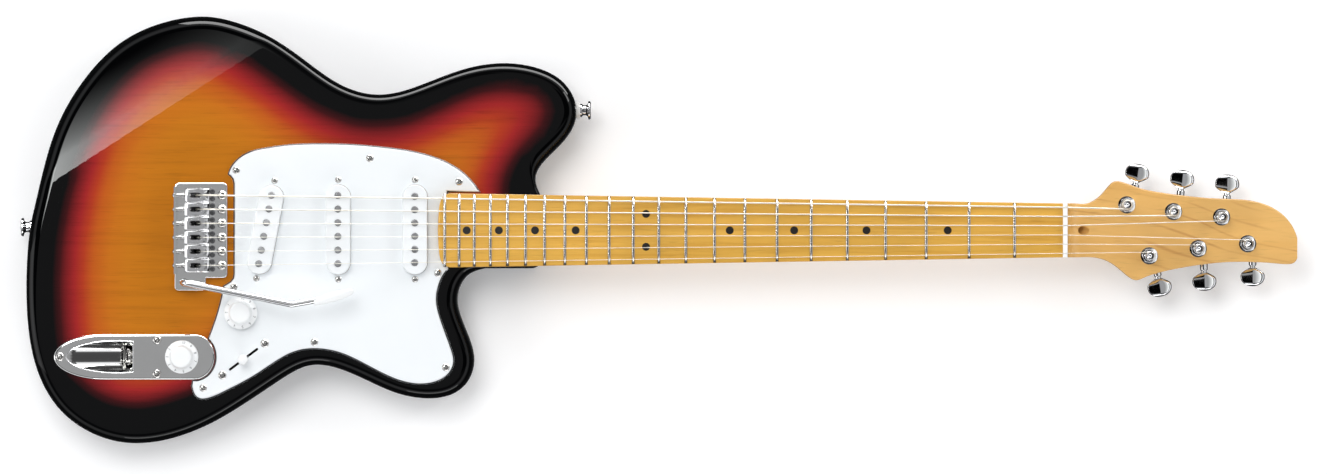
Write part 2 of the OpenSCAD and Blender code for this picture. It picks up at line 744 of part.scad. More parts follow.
module saddles() place() color("silver")
    for (i = [0:5])
        difference() {
            translate([0, saddle_y(i) + 5.15, 0]) rotate([90, 0, 0]) linear_extrude(10.3) saddle_side(i);
            translate([-10.6, saddle_y(i) - 1.7, 0]) cube([8, 3.4, 90]);
            translate([-10.6, saddle_y(i), 0]) cylinder(r = 1.7, h = 90);
            rod(saddle_point(i), anchor_point(i), string_d[i] / 2 + 0.2);
            for (s = [-1, 1]) translate([1.4, saddle_y(i) + s * 3.2, 0]) cylinder(r = 1.42, h = 90);
            translate([saddle_x[0] - 1, saddle_y(i), bridge_z + 7.3]) along_x(4, 1.27);
        }

module saddle_height_screws() place() color("gray")
    for (i = [0:5], s = [-1, 1])
        translate([1.4, saddle_y(i) + s * 3.2, bridge_z + bridge_t + fit])
            difference() {
                cylinder(r = 1.4, h = crest_z(i) - 0.9 - bridge_z - bridge_t);
                translate([0, 0, crest_z(i) - 2.6 - bridge_z - bridge_t])
                    cylinder(r = 0.75, h = 5, $fn = 6);
            }

module intonation_screws() place() color("silver")
    for (i = [0:5])
        translate([bridge_x[0], saddle_y(i), bridge_z + 7.3])
            rotate([0, -90, 0]) screw(2.2, 1.5, 1.25, 10.9);

module intonation_springs() place() color("silver")
    for (i = [0:5])
        translate([bridge_x[0] + 1.9, saddle_y(i), bridge_z + 7.3])
            difference() {
                along_x(saddle_x[0] - bridge_x[0] - 2, 2);
                translate([-1, 0, 0]) along_x(10, 1.5);
            }

module tremolo_block() place() color("dimgray")
    difference() {
        union() {
            translate([block_x[0], -33, block_low])
                cube([block_x[1] - block_x[0], 66, bridge_z - block_low]);
            translate([-19, -43, bridge_z - 13.5]) cube([9.5, 14, 13.5]);
        }
        for (i = [0:5]) translate([hole_x, saddle_y(i), 0]) {
            cylinder(r = 1.6, h = 90);
            cylinder(r = 3.9, h = block_low + 10);
        }
        for (y = spring_y) translate([block_x[1] - 6, y, spring_z]) along_x(8, 1);
        translate([arm_at.x, arm_at.y, 0]) cylinder(r = arm_r + fit, h = 90);
    }

module pivot_screws() place() color("silver")
    for (i = [0:5])
        translate([pivot_x, saddle_y(i), bridge_z + bridge_t + 0.75]) screw(3.6, 1.7, 1.85, 25);

arm_top = body_t + 20.5;
arm_bend = [66.9, -55.8, body_t + 24];
arm_end = [84, -54.2, body_t + 24.6];
arm_tip_end = [114, -45.3, body_t + 25];
arm_tip_knots = [[2.9, 0], [3.5, 6], [4, 14], [3.9, 21], [3.2, 27.5], [1.8, 30.8], [0, 31.31]];

module tremolo_arm() place() color("silver") {
    foot = [arm_at.x, arm_at.y, bridge_z - 12];
    top = [arm_at.x, arm_at.y, arm_top];
    bent_rod([foot, top, arm_bend, mix(arm_end, arm_tip_end, 0.4)], arm_r, arm_r + 0.25);
}

module arm_tip() place() color("white")
    difference() {
        v = arm_tip_end - arm_end;
        translate(arm_end)
            rotate([0, acos(v.z / norm(v)), atan2(v.y, v.x)])
                rotate_extrude() polygon(concat([[0, 0]], curve(arm_tip_knots, 4, true), [[0, norm(v)]]));
        rod(arm_bend, mix(arm_end, arm_tip_end, 0.41), arm_r + fit);
    }

module tremolo_springs() place() color("silver")
    for (y = spring_y) translate([0, y, spring_z]) {
        translate([block_x[1] - 4, 0, 0]) along_x(10, 0.65);
        translate([block_x[1] + 6, 0, 0]) along_x(1, 4.2);
        translate([block_x[1] + 6, 0, 0])
            difference() {
                along_x(66, 4.2);
                translate([-1, 0, 0]) along_x(70, 3.2);
            }
        translate([block_x[1] + 71, 0, 0]) along_x(1, 4.2);
        translate([block_x[1] + 71, 0, 0]) along_x(claw_x - block_x[1] - 70.2, 0.65);
    }

module spring_claw() place() color("silver")
    difference() {
        translate([claw_x, -27, spring_z - 6]) cube([2, 54, 12]);
        for (y = spring_y) translate([claw_x - 1, y, spring_z]) along_x(9, 0.75);
        for (s = [-1, 1]) translate([claw_x - 1, s * 19, spring_z]) along_x(9, 2.2);
    }

module claw_screws() place() color("silver")
    for (s = [-1, 1])
        translate([claw_x, s * 19, spring_z]) rotate([0, -90, 0]) screw(4, 2, 2.1, 32);

module tremolo_cover() place() color("whitesmoke")
    difference() {
        slab(cover_x + [0.3, -0.3], [0.3 - cover_half, cover_half - 0.3], [0.1, cover_t], 7.7);
        slab([-15, 3], [-32, 32], [-1, 10], 4);
        at_each(cover_screw_at, -1) {
            cylinder(r = 1.6, h = 9);
            cylinder(r = 3, h = 2);
        }
    }

module cover_screws() place() color("silver")
    at_each(cover_screw_at, 1) mirror([0, 0, 1]) screw(2.7, 0.9, 1.45, 11);

// ---------- strings ----------
function anchor_point(i) = [hole_x, saddle_y(i), bridge_z + bridge_t];
ball_z = block_low + 8;

module strings() place() color("lightgray")
    for (i = [0:5]) {
        p = nut_point(i);
        v = (tangent_point(i) - p) / norm(tangent_point(i) - p);
        rod(saddle_point(i) + [fit, 0, 0], p, string_d[i] / 2);
        rod(p + v * 0.06, tangent_point(i), string_d[i] / 2);
    }

module string_ends() place() color("lightgray")
    for (i = [0:5]) {
        p = saddle_point(i);
        q = anchor_point(i);
        difference() {
            rod(p + (p - q) * 0.1, q, string_d[i] / 2);
            translate([-fit, -big / 2, 0]) cube([big, big, big]);
        }
        translate([q.x, q.y, ball_z]) cylinder(r = string_d[i] / 2, h = q.z - ball_z - 0.7);
        translate([q.x, q.y - 1.5, ball_z]) rotate([-90, 0, 0]) cylinder(r = 1.9, h = 3);
    }

// ---------- strap buttons ----------
strap_z = body_t / 2;
strap_at = [[[tail_x, 2.5, strap_z], -90, 0], [[horn_x, 91, strap_z], 90, washer_t]];

module at_strap_button(b)
    translate(strap_at[b][0]) rotate([0, strap_at[b][1], 0]) children();

// Small flats on the body's edge for the buttons to sit on
module at_strap_seats()
    for (b = [0, 1]) at_strap_button(b) cylinder(r = 6.6, h = 10);

module strap_button_profile()
    polygon([[2.1, 0], [5, 0], [5, 1.2], [3.9, 2.2], [3.8, 4.2], [4.6, 5.6], [7, 6.3], [7, 7.3],
        [6.3, button_h], [4.2, button_h], [2.1, 5.9]]);

module strap_buttons() place() color("silver")
    for (b = [0, 1]) at_strap_button(b) translate([0, 0, strap_at[b][2]]) {
        rotate_extrude() strap_button_profile();
        difference() {
            union() {
                translate([0, 0, -20]) cylinder(r = 2, h = 27);
                translate([0, 0, 5.9 + fit]) cylinder(r1 = 2, r2 = 4, h = button_h - 5.9 - 2 * fit);
            }
            translate([0, 0, button_h - 1.2]) cross_recess(4.4, 0);
        }
    }

module strap_washer() place() color("white")
    at_strap_button(1)
        difference() {
            cylinder(r = 6, h = washer_t);
            cylinder(r = 2.05, h = 20, center = true);
        }

// ---------- tuners ----------
housing_low = head_low - 12;
shaft_z = head_low - 6.5;

module tuner_housings() place() color("silver")
    for (i = [0:5]) at_tuner(i)
        difference() {
            union() {
                slab([-7, 10], [-9, 9.6], [housing_low, head_low - fit], 3);
                slab([-11.6, -4], [-8.2, -2.8], [head_low - 2, head_low - fit], 2.4);
            }
            slab([-5.2, 8.4], [-7, 7.6], [housing_low + 1.5, head_low - 1.6], 2);
            translate([0, 0, head_low - 4]) cylinder(r = post_r + 0.06, h = 9);
            translate([worm_offset, 0, shaft_z]) rotate([-90, 0, 0]) cylinder(r = 2.06, h = 20);
            translate([-8.9, -5.5, head_low - 4]) cylinder(r = 1.15, h = 9);
        }

module tuner_bushings() place() color("silver")
    for (i = [0:5]) translate([post_at(i).x, post_at(i).y, 0]) {
        difference() {
            translate([0, 0, head_top]) cylinder(r = 6.6, h = 0.9);
            translate([0, 0, head_top - 1]) cylinder(r = 5, h = 9);
        }
        difference() {
            union() {
                translate([0, 0, head_low]) cylinder(r = 4.95, h = head_t + 1.2);
                translate([0, 0, head_top + 0.95]) rotate(15 + 20 * i) cylinder(r = 5.9, h = 2.6, $fn = 6);
            }
            translate([0, 0, head_low - 1]) cylinder(r = post_r + 0.06, h = 90);
        }
    }

module tuner_screws() place() color("silver")
    for (i = [0:5]) at_tuner(i)
        translate([-8.9, -5.5, head_low - 2]) mirror([0, 0, 1]) screw(2, 1, 1.08, 10);

module one_post(i) {
    r = string_d[i] / 2;
    translate([post_at(i).x, post_at(i).y, 0]) {
        difference() {
            union() {
                translate([0, 0, housing_low + 1.7]) cylinder(r = waist_r, h = head_low - housing_low);
                translate([0, 0, shaft_z - 1.8]) cylinder(r = worm_offset - 1.8, h = 3.6);
                translate([0, 0, head_low - 1.4]) cylinder(r = post_r, h = wrap_z - 1.9 - head_low);
                translate([0, 0, wrap_z - 4]) cylinder(r = waist_r, h = 7);
                translate([0, 0, wrap_z + 1.6]) cylinder(r = post_r, h = 4.4);
            }
            translate([0, 0, wrap_z + 4.6]) cylinder(r = 1.1, h = 9);
            for (t = [1:gear_teeth]) rotate(t * 360 / gear_teeth)
                translate([worm_offset - 1.7, 0, shaft_z - 3]) cylinder(r = 0.4, h = 6);
        }
        for (turn = [1:2])
            translate([0, 0, wrap_z - turn * (2 * r + fit)])
                rotate_extrude() translate([waist_r + r - fit, 0]) circle(r, $fn = 24);
    }
}

module one_button(i) at_tuner(i) translate([worm_offset, 0, shaft_z]) {
    rotate([-90, 0, 0]) {
        translate([0, 0, -6]) cylinder(r = 1.6, h = 13);
        translate([0, 0, 6.9]) cylinder(r = 2, h = 12.5);
        translate([0, 0, 10]) cylinder(r = 2.95, h = 6.8);
    }
    difference() {
        hull() {
            translate([0, 18.4, 0]) rotate([-90, 0, 0]) cylinder(r = 2.9, h = 1, $fn = 32);
            for (s = [-1, 1]) {
                translate([s * 5.1, 24.4, 0]) scale([4, 3.4, 3.4]) sphere(1, $fn = 32);
                translate([s * 3.8, 28.6, 0]) scale([4.4, 3.6, 2.8]) sphere(1, $fn = 32);
            }
        }
        rotate([-90, 0, 0]) cylinder(r = 2, h = 19.4);
    }
}

module tuner_post_1() place() color("silver") one_post(0);
module tuner_post_2() place() color("silver") one_post(1);
module tuner_post_3() place() color("silver") one_post(2);
module tuner_post_4() place() color("silver") one_post(3);
module tuner_post_5() place() color("silver") one_post(4);
module tuner_post_6() place() color("silver") one_post(5);

module tuner_button_1() place() color("silver") one_button(0);
module tuner_button_2() place() color("silver") one_button(1);
module tuner_button_3() place() color("silver") one_button(2);
module tuner_button_4() place() color("silver") one_button(3);
module tuner_button_5() place() color("silver") one_button(4);
module tuner_button_6() place() color("silver") one_button(5);

// ---------- which node is drawn ----------
body();
neck();
fretboard();
frets();
fret_markers();
nut();
truss_rod();
neck_ferrules();
neck_screws();
pickguard();
pickguard_screws();
neck_pickup_cover();
middle_pickup_cover();
bridge_pickup_cover();
pickup_coils();
pole_pieces();
pickup_screws();
volume_pot();
tone_pot();
selector_switch();
jack_plate();
jack_plate_screws();
jack_socket();
pivot_screws();
spring_claw();
claw_screws();
tremolo_springs();
tremolo_cover();
cover_screws();
strings();
strap_buttons();
strap_washer();
tuner_housings();
tuner_bushings();
tuner_screws();
volume_knob();
tone_knob();
switch_lever();
switch_tip();
bridge_plate();
saddles();
saddle_height_screws();
intonation_screws();
intonation_springs();
tremolo_block();
string_ends();
tremolo_arm();
arm_tip();
tuner_post_1();
tuner_post_2();
tuner_post_3();
tuner_post_4();
tuner_post_5();
tuner_post_6();
tuner_button_1();
tuner_button_2();
tuner_button_3();
tuner_button_4();
tuner_button_5();
tuner_button_6();
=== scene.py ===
"""Electric guitar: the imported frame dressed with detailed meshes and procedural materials.

Sizes are worked in millimetres in the builder's own frame: X along the strings from the bridge line
(x = 0) to the headstock, Y across them towards the bass side, Z up from the body's back. row_point(),
solid() and put() turn them into the row frame, in metres.
"""

import json
import math

import bmesh
import bpy
import numpy as np
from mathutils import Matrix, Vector
from mathutils.geometry import delaunay_2d_cdt


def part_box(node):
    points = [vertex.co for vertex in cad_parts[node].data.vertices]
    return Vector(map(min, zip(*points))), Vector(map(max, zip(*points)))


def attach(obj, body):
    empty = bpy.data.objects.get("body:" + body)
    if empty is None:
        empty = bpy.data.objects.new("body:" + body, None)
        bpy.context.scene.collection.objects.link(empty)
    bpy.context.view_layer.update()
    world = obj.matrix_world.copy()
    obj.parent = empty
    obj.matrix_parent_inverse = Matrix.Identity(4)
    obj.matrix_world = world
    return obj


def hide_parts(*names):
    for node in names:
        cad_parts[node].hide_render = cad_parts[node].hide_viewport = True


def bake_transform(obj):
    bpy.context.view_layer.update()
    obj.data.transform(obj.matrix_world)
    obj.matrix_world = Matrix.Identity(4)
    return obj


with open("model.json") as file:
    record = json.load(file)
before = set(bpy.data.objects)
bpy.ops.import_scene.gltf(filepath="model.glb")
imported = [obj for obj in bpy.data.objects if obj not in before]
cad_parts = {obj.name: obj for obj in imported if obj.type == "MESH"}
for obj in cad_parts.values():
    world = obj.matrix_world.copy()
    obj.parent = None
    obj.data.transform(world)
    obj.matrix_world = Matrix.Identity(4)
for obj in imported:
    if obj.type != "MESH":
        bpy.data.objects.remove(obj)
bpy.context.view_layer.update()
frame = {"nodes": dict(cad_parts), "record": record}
nodes = frame["nodes"]
slot_of = {s["node"]: s["material_slot"] for s in frame["record"]["subparts"]}
scene = bpy.context.scene

# ---------------------------------------------------------------- the working frame
SCALE_LEN = 648.0
nut_lo, nut_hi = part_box("nut")
SHIFT = np.array([nut_lo.x * 1000 - SCALE_LEN, (nut_lo.y + nut_hi.y) * 500, 0.0])
BODY_T, BOARD_TOP, BOARD_LOW, GUARD_TOP = 45.0, 54.5, 48.5, 47.3
JACK_TOP, JACK_Y = BODY_T + 1.6, -95.6
TONE_X = -16.9
HEAD_TOP, HEAD_LOW, HEEL_LOW = 46.0, 31.5, 29.05
BOARD_R = 250.0
LAST_FRET, BOARD_PAST_FRET = 22, 5.3
BOARD_END = SCALE_LEN * 2 ** (-LAST_FRET / 12) - BOARD_PAST_FRET
HALF_AT_END, HALF_AT_NUT = 28.1, 20.4
# from the bass side
STRING_D = [1.17, 0.91, 0.66, 0.43, 0.33, 0.25]


def row_point(x, y, z=0.0):
    """Working millimetres as a point in the row frame, in metres."""
    return Vector(((x + SHIFT[0]) / 1000, (y + SHIFT[1]) / 1000, z / 1000))


def half_width(x):
    """Half the fretboard's width."""
    return HALF_AT_END + (HALF_AT_NUT - HALF_AT_END) * (x - BOARD_END) / (SCALE_LEN - BOARD_END)


def fall(y):
    """How far the fretboard's radius has dropped at y."""
    return BOARD_R - math.sqrt(BOARD_R**2 - y * y)


def smooth(a, b, x):
    """Rises from 0 at a to 1 at b."""
    t = np.clip((np.asarray(x, float) - a) / (b - a), 0, 1)
    return t * t * (3 - 2 * t)


# ---------------------------------------------------------------- materials
class Shade:
    """A small helper to write node materials in a few lines."""

    def __init__(self, name):
        self.material = bpy.data.materials.new(name)
        self.material.use_nodes = True
        self.tree = self.material.node_tree
        self.shader = self.tree.nodes["Principled BSDF"]

    def add(self, kind, **values):
        n = self.tree.nodes.new(kind)
        for k, v in values.items():
            if hasattr(n, k) and k not in n.inputs:
                setattr(n, k, v)
            else:
                self.set(n.inputs[k], v)
        return n

    def set(self, socket, v):
        if isinstance(v, bpy.types.NodeSocket):
            self.tree.links.new(v, socket)
        elif isinstance(v, (tuple, list)) and len(v) == 3 and socket.type == "RGBA":
            socket.default_value = (*v, 1)
        else:
            socket.default_value = v

    def base(self, **values):
        for k, v in values.items():
            self.set(self.shader.inputs[k.replace("_", " ")], v)

    def coords(self, scale, turned=0.0):
        geo = self.add("ShaderNodeTexCoord").outputs["Object"]
        mp = self.add("ShaderNodeMapping", vector_type="POINT")
        self.set(mp.inputs["Vector"], geo)
        mp.inputs["Scale"].default_value = scale
        mp.inputs["Rotation"].default_value = (0, 0, turned)
        return mp.outputs["Vector"]

    def place(self):
        """The point's own coordinates, as X, Y and Z."""
        sep = self.add("ShaderNodeSeparateXYZ")
        self.set(sep.inputs[0], self.add("ShaderNodeTexCoord").outputs["Object"])
        return sep

    def noise(self, scale, size=1.0, detail=3.0, rough=0.55, distortion=0.0):
        n = self.add("ShaderNodeTexNoise")
        self.set(n.inputs["Vector"], self.coords(scale))
        n.inputs["Scale"].default_value = size
        n.inputs["Detail"].default_value = detail
        n.inputs["Roughness"].default_value = rough
        n.inputs["Distortion"].default_value = distortion
        return n.outputs["Fac"]

    def ramp(self, fac, stops, mode="LINEAR"):
        r = self.add("ShaderNodeValToRGB")
        r.color_ramp.interpolation = mode
        while len(r.color_ramp.elements) < len(stops):
            r.color_ramp.elements.new(0.5)
        for e, (p, c) in zip(r.color_ramp.elements, stops):
            e.position = p
            e.color = (*c, 1) if isinstance(c, tuple) else (c, c, c, 1)
        self.set(r.inputs["Fac"], fac)
        return r.outputs["Color"]

    def math(self, op, a, b=0.0, clamp=False):
        n = self.add("ShaderNodeMath", operation=op, use_clamp=clamp)
        self.set(n.inputs[0], a)
        self.set(n.inputs[1], b)
        return n.outputs[0]

    def mix(self, fac, a, b, blend="MIX"):
        n = self.add("ShaderNodeMix", data_type="RGBA", blend_type=blend)
        self.set(n.inputs[0], fac)
        self.set(n.inputs[6], a)
        self.set(n.inputs[7], b)
        return n.outputs[2]

    def bump(self, height, strength=0.1, distance=0.001):
        n = self.add("ShaderNodeBump")
        n.inputs["Strength"].default_value = strength
        n.inputs["Distance"].default_value = distance
        self.set(n.inputs["Height"], height)
        self.set(self.shader.inputs["Normal"], n.outputs[0])
        return self


MATS = {}


def material(name):
    """Keeps what the function under it makes as the material of that name."""
    def keep(make):
        s = Shade(name)
        make(s)
        MATS[name] = s.material
        return make

    return keep


@material("sunburst_lacquer")
def sunburst(s):
    """Black, red and amber by the distance from the body's edge, over wood grain, under clear lacquer."""
    edge = s.add("ShaderNodeAttribute", attribute_name="edge").outputs["Fac"]
    cloud = s.noise((9, 9, 9), 1.0, 2.0)
    wob = s.math("MULTIPLY", s.math("SUBTRACT", cloud, 0.5), 0.07)
    d = s.math("ADD", edge, wob)
    burst = s.ramp(d, [
        (0.0, (0.0008, 0.0010, 0.0012)), (0.25, (0.0010, 0.0010, 0.0012)), (0.305, (0.040, 0.0028, 0.004)),
        (0.36, (0.165, 0.0085, 0.0105)), (0.42, (0.300, 0.0150, 0.0150)), (0.485, (0.385, 0.036, 0.011)),
        (0.56, (0.450, 0.088, 0.0085)), (0.68, (0.490, 0.138, 0.0078)), (0.82, (0.480, 0.152, 0.0068)),
        (1.0, (0.468, 0.152, 0.0060)),
    ])
    streak = s.noise((9, 260, 60), 1.0, 6.0, 0.65, 0.8)
    broad = s.noise((3.0, 70, 20), 1.0, 3.0, 0.5, 1.6)
    lines = s.ramp(s.math("ADD", s.math("MULTIPLY", streak, 0.6), s.math("MULTIPLY", broad, 0.4)),
                   [(0.34, 0.76), (0.46, 0.96), (0.6, 1.05)])
    fleck = s.ramp(s.noise((40, 700, 200), 1.0, 2.0, 0.5), [(0.30, 0.84), (0.40, 1.0)])
    grain = s.mix(1.0, lines, fleck, "MULTIPLY")
    col = s.mix(0.85, burst, s.mix(1.0, burst, grain, "MULTIPLY"))
    s.base(Base_Color=col, Roughness=0.5, Specular_IOR_Level=0.0, Coat_Weight=1.0, Coat_Roughness=0.02,
           Coat_IOR=1.3)
    s.bump(s.noise((60, 60, 60), 1.0, 2.0), 0.012, 0.0006)


def maple(s, light, dark, line, streak_scale, figure, coat):
    """Streaks and flecks along the grain, with thin wavy lines where figure is above 0."""
    streak = s.noise(streak_scale, 1.0, 6.0, 0.6, 0.5)
    col = s.ramp(streak, [(0.28, dark), (0.52, light), (0.75, tuple(min(1, c * 1.06) for c in light))])
    blotch = s.ramp(s.noise((14, 26, 26), 1.0, 3.0), [(0.3, 0.90), (0.7, 1.07)])
    col = s.mix(1.0, col, blotch, "MULTIPLY")
    if figure:
        rings = s.add("ShaderNodeTexWave", wave_type="BANDS", bands_direction="Y")
        s.set(rings.inputs["Vector"], s.coords((20, 46, 46), 0.5))
        rings.inputs["Scale"].default_value = 0.62
        rings.inputs["Distortion"].default_value = 7.0
        rings.inputs["Detail"].default_value = 1.4
        rings.inputs["Detail Scale"].default_value = 0.7
        thin = s.ramp(rings.outputs["Fac"], [(0.0, 1.0), (0.03, 0.5), (0.08, 0.0)])
        fade = s.ramp(s.noise((16, 22, 22), 1.0, 2.0), [(0.38, 0.1), (0.62, 1.0)])
        col = s.mix(s.math("MULTIPLY", s.math("MULTIPLY", thin, fade), figure), col, line)
    fleck = s.ramp(s.noise((60, 900, 600), 1.0, 2.0, 0.5), [(0.28, 0.86), (0.40, 1.0)])
    col = s.mix(1.0, col, fleck, "MULTIPLY")
    s.base(Base_Color=col, Roughness=0.36, Specular_IOR_Level=0.35, Coat_Weight=coat, Coat_Roughness=0.16,
           Coat_IOR=1.4)
    s.bump(streak, 0.05, 0.0003)


def add_materials(make, table):
    """Makes each material in a table with the same function and its own values."""
    for name, values in table.items():
        shade = Shade(name)
        make(shade, *values)
        MATS[name] = shade.material


# light, dark, line, streak_scale, figure, coat
add_materials(maple, {
    "maple": ((0.71, 0.41, 0.125), (0.66, 0.36, 0.098), (0.42, 0.18, 0.045), (7, 60, 60), 0.5, 0.4),
    "maple_board": ((0.69, 0.385, 0.064), (0.59, 0.300, 0.040), (0.36, 0.15, 0.02), (9, 200, 90), 0.0, 0.5),
})


def plastic(s, colour, rough, coat=0.0, mottle=0.04, bump=0.02, grain=900):
    """A plain colour, faintly mottled, with a fine uneven gloss."""
    tint = s.ramp(s.noise((30, 30, 30), 1.0, 2.0), [(0.3, 1.0 - mottle), (0.7, 1.0)])
    s.base(Base_Color=s.mix(1.0, colour, tint, "MULTIPLY"), Coat_Weight=coat, Coat_Roughness=0.08)
    fine = s.noise((grain, grain, grain), 1.0, 2.0)
    s.base(Roughness=s.math("ADD", s.math("MULTIPLY", fine, 0.08), rough - 0.04))
    s.bump(fine, bump, 0.0002)


@material("guard_plastic")
def guard_plies(s):
    """Three plies that show on the bevelled edge: white, black, white."""
    z = s.place().outputs["Z"]
    h = s.math("DIVIDE", s.math("SUBTRACT", z, 0.045), 0.0023)
    white, black = (0.83, 0.86, 0.878), (0.012, 0.013, 0.014)
    ply = s.ramp(h, [(0.0, white), (0.15, black), (0.64, white)], "CONSTANT")
    tint = s.ramp(s.noise((20, 20, 20), 1.0, 2.0), [(0.3, 0.975), (0.7, 1.0)])
    s.base(Base_Color=s.mix(1.0, ply, tint, "MULTIPLY"), Roughness=0.28, Specular_IOR_Level=0.4,
           Coat_Weight=0.3,
           Coat_Roughness=0.06)
    s.bump(s.noise((700, 700, 700), 1.0, 2.0), 0.01, 0.0002)


# colour and roughness, then coat, mottle, bump and grain
add_materials(plastic, {
    "white_plastic": ((0.83, 0.855, 0.87), 0.3, 0.15),
    "knob_plastic": ((0.86, 0.875, 0.88), 0.3, 0.2),
    "cover_plastic": ((0.84, 0.86, 0.87), 0.3, 0.2),
    "black_plastic": ((0.012, 0.012, 0.012), 0.5, 0.0, 0.2),
    "black_inlay": ((0.010, 0.009, 0.009), 0.35, 0.4, 0.2),
    "dial_ink": ((0.13, 0.13, 0.14), 0.5, 0.0, 0.2),
    "bone": ((0.93, 0.93, 0.92), 0.35, 0.1, 0.04),
    "washer_plastic": ((0.86, 0.85, 0.82), 0.7, 0.0, 0.1, 0.2, 1800),
    "block_steel": ((0.075, 0.075, 0.08), 0.45, 0.0, 0.3, 0.15, 700),
    # near-black rout paint that also serves as painted shade, darkening the pockets, cavities and the
    # tremolo's slot
    "rout_paint_and_painted_shade": ((0.010, 0.009, 0.008), 0.6, 0.0, 0.3, 0.2, 300),
})


def metal(s, colour, rough, spread=0.05, scratch=(40, 900, 40), bump=0.01, spot=0.04):
    """Bare or plated metal, with fine scratches and duller patches."""
    fine = s.noise(scratch, 1.0, 3.0, 0.6)
    broad = s.noise((45, 45, 45), 1.0, 2.0)
    r = s.math("ADD", s.math("MULTIPLY", fine, spread), s.math("MULTIPLY", broad, spread * 0.8))
    s.base(Metallic=1.0, Roughness=s.math("ADD", r, rough - spread * 0.9, True))
    dull = s.ramp(broad, [(0.3, 1.0 - spot), (0.6, 1.0)])
    s.base(Base_Color=s.mix(1.0, colour, dull, "MULTIPLY"))
    s.bump(fine, bump, 0.0002)


# colour and roughness, then the roughness's spread, the scratches' scale, bump and spot
add_materials(metal, {
    "chrome": ((0.80, 0.80, 0.81), 0.09, 0.03, (300, 300, 300)),
    "arm_chrome": ((0.84, 0.84, 0.85), 0.1, 0.03, (300, 300, 300)),
    "plate_chrome": ((0.80, 0.80, 0.79), 0.075, 0.03, (90, 500, 300)),
    "nickel": ((0.50, 0.49, 0.475), 0.14, 0.04, (300, 300, 300)),
    "fret_wire": ((0.60, 0.59, 0.57), 0.26, 0.08, (900, 60, 60)),
    "steel": ((0.42, 0.42, 0.43), 0.33, 0.1, (60, 900, 60), 0.03),
    "magnet_steel": ((0.40, 0.40, 0.41), 0.38, 0.1, (500, 500, 500), 0.05, 0.2),
    "spring_steel": ((0.52, 0.52, 0.53), 0.25, 0.08),
})


@material("string_wire")
def wound_wire(s):
    """Wound wire: a fine rib every third of a millimetre along the string."""
    wave = s.add("ShaderNodeTexWave", wave_type="BANDS", bands_direction="X", wave_profile="SIN")
    s.set(wave.inputs["Vector"], s.coords((1000, 1000, 1000)))
    wave.inputs["Scale"].default_value = 1.0
    metal(s, (0.74, 0.70, 0.62), 0.32, 0.06, (200, 200, 200))
    s.base(Metallic=0.45)
    s.bump(wave.outputs["Fac"], 0.25, 0.00008)


@material("plain_wire")
def plain_wire(s):
    metal(s, (0.80, 0.77, 0.69), 0.30, 0.05, (200, 200, 200))
    s.base(Metallic=0.4)


# ---------------------------------------------------------------- mesh helpers
def put(name, verts, faces, body, mat, replaces=(), sharp=35, mats=None, face_mats=None, attr=None,
        weighted=True, recalc=False):
    """A mesh in working millimetres becomes a piece in the row frame that rides on a body.

    mat is its one material, or mats and face_mats give each face its own. attr holds each point's
    distance from the body's edge, in units of 100 mm, for the sunburst.
    """
    co = (np.asarray(verts, float).reshape(-1, 3) + SHIFT) / 1000
    me = bpy.data.meshes.new(name)
    me.from_pydata(co.tolist(), [], [tuple(int(i) for i in f) for f in faces])
    me.update()
    if recalc:
        bm = bmesh.new()
        bm.from_mesh(me)
        bmesh.ops.recalc_face_normals(bm, faces=bm.faces)
        bm.to_mesh(me)
        bm.free()
    if attr is not None:
        a = me.attributes.new("edge", "FLOAT", "POINT")
        a.data.foreach_set("value", np.asarray(attr, np.float32))
    me.shade_smooth()
    me.set_sharp_from_angle(angle=math.radians(sharp))
    for m in mats or [mat]:
        me.materials.append(MATS[m])
    if face_mats is not None:
        me.polygons.foreach_set("material_index", np.asarray(face_mats, np.int32))
    ob = bpy.data.objects.new(name, me)
    scene.collection.objects.link(ob)
    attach(ob, body)
    if replaces:
        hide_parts(*replaces)
    if weighted:
        w = ob.modifiers.new("normals", "WEIGHTED_NORMAL")
        w.keep_sharp = True
    return ob


def join_parts(parts):
    """Joins (verts, faces) parts into one."""
    vs, fs, n = [], [], 0
    for v, f in parts:
        v = np.asarray(v, float).reshape(-1, 3)
        vs.append(v)
        fs += [tuple(i + n for i in g) for g in f]
        n += len(v)
    return np.vstack(vs), fs


def welded(verts, faces):
    """Merges points that meet and drops the faces that vanish."""
    key, out, ids = {}, [], []
    for p in verts:
        k = tuple(round(float(c), 4) for c in p)
        if k not in key:
            key[k] = len(out)
            out.append(p)
        ids.append(key[k])
    kept = []
    for f in faces:
        g = [ids[i] for i in f]
        g = [a for a, b in zip(g, g[1:] + g[:1]) if a != b]
        if len(set(g)) > 2:
            kept.append(tuple(g))
    return np.array(out), kept


def grid_faces(rows, cols, wrap_c=False, wrap_r=False, start=0):
    """Quads between rows of points that follow one another."""
    out = []
    for r in range(rows if wrap_r else rows - 1):
        for c in range(cols if wrap_c else cols - 1):
            a, b = start + r * cols + c, start + r * cols + (c + 1) % cols
            r2 = (r + 1) % rows
            out.append((a, b, start + r2 * cols + (c + 1) % cols, start + r2 * cols + c))
    return out


def loft(rings, flip=False):
    """Joins rings of the same number of points and closes both ends."""
    n, m = len(rings), len(rings[0])
    faces = grid_faces(n, m, True) + [tuple(range(m - 1, -1, -1)), tuple(range((n - 1) * m, n * m))]
    return np.vstack(rings), [face[::-1] for face in faces] if flip else faces


def frame_along(p, q):
    """The direction from p to q and two unit vectors square to it."""
    d = np.asarray(q, float) - np.asarray(p, float)
    d /= np.linalg.norm(d)
    ref = np.array([0, 0, 1.0]) if abs(d[2]) < 0.9 else np.array([0, 1.0, 0])
    u = np.cross(ref, d)
    u /= np.linalg.norm(u)
    return d, u, np.cross(d, u)


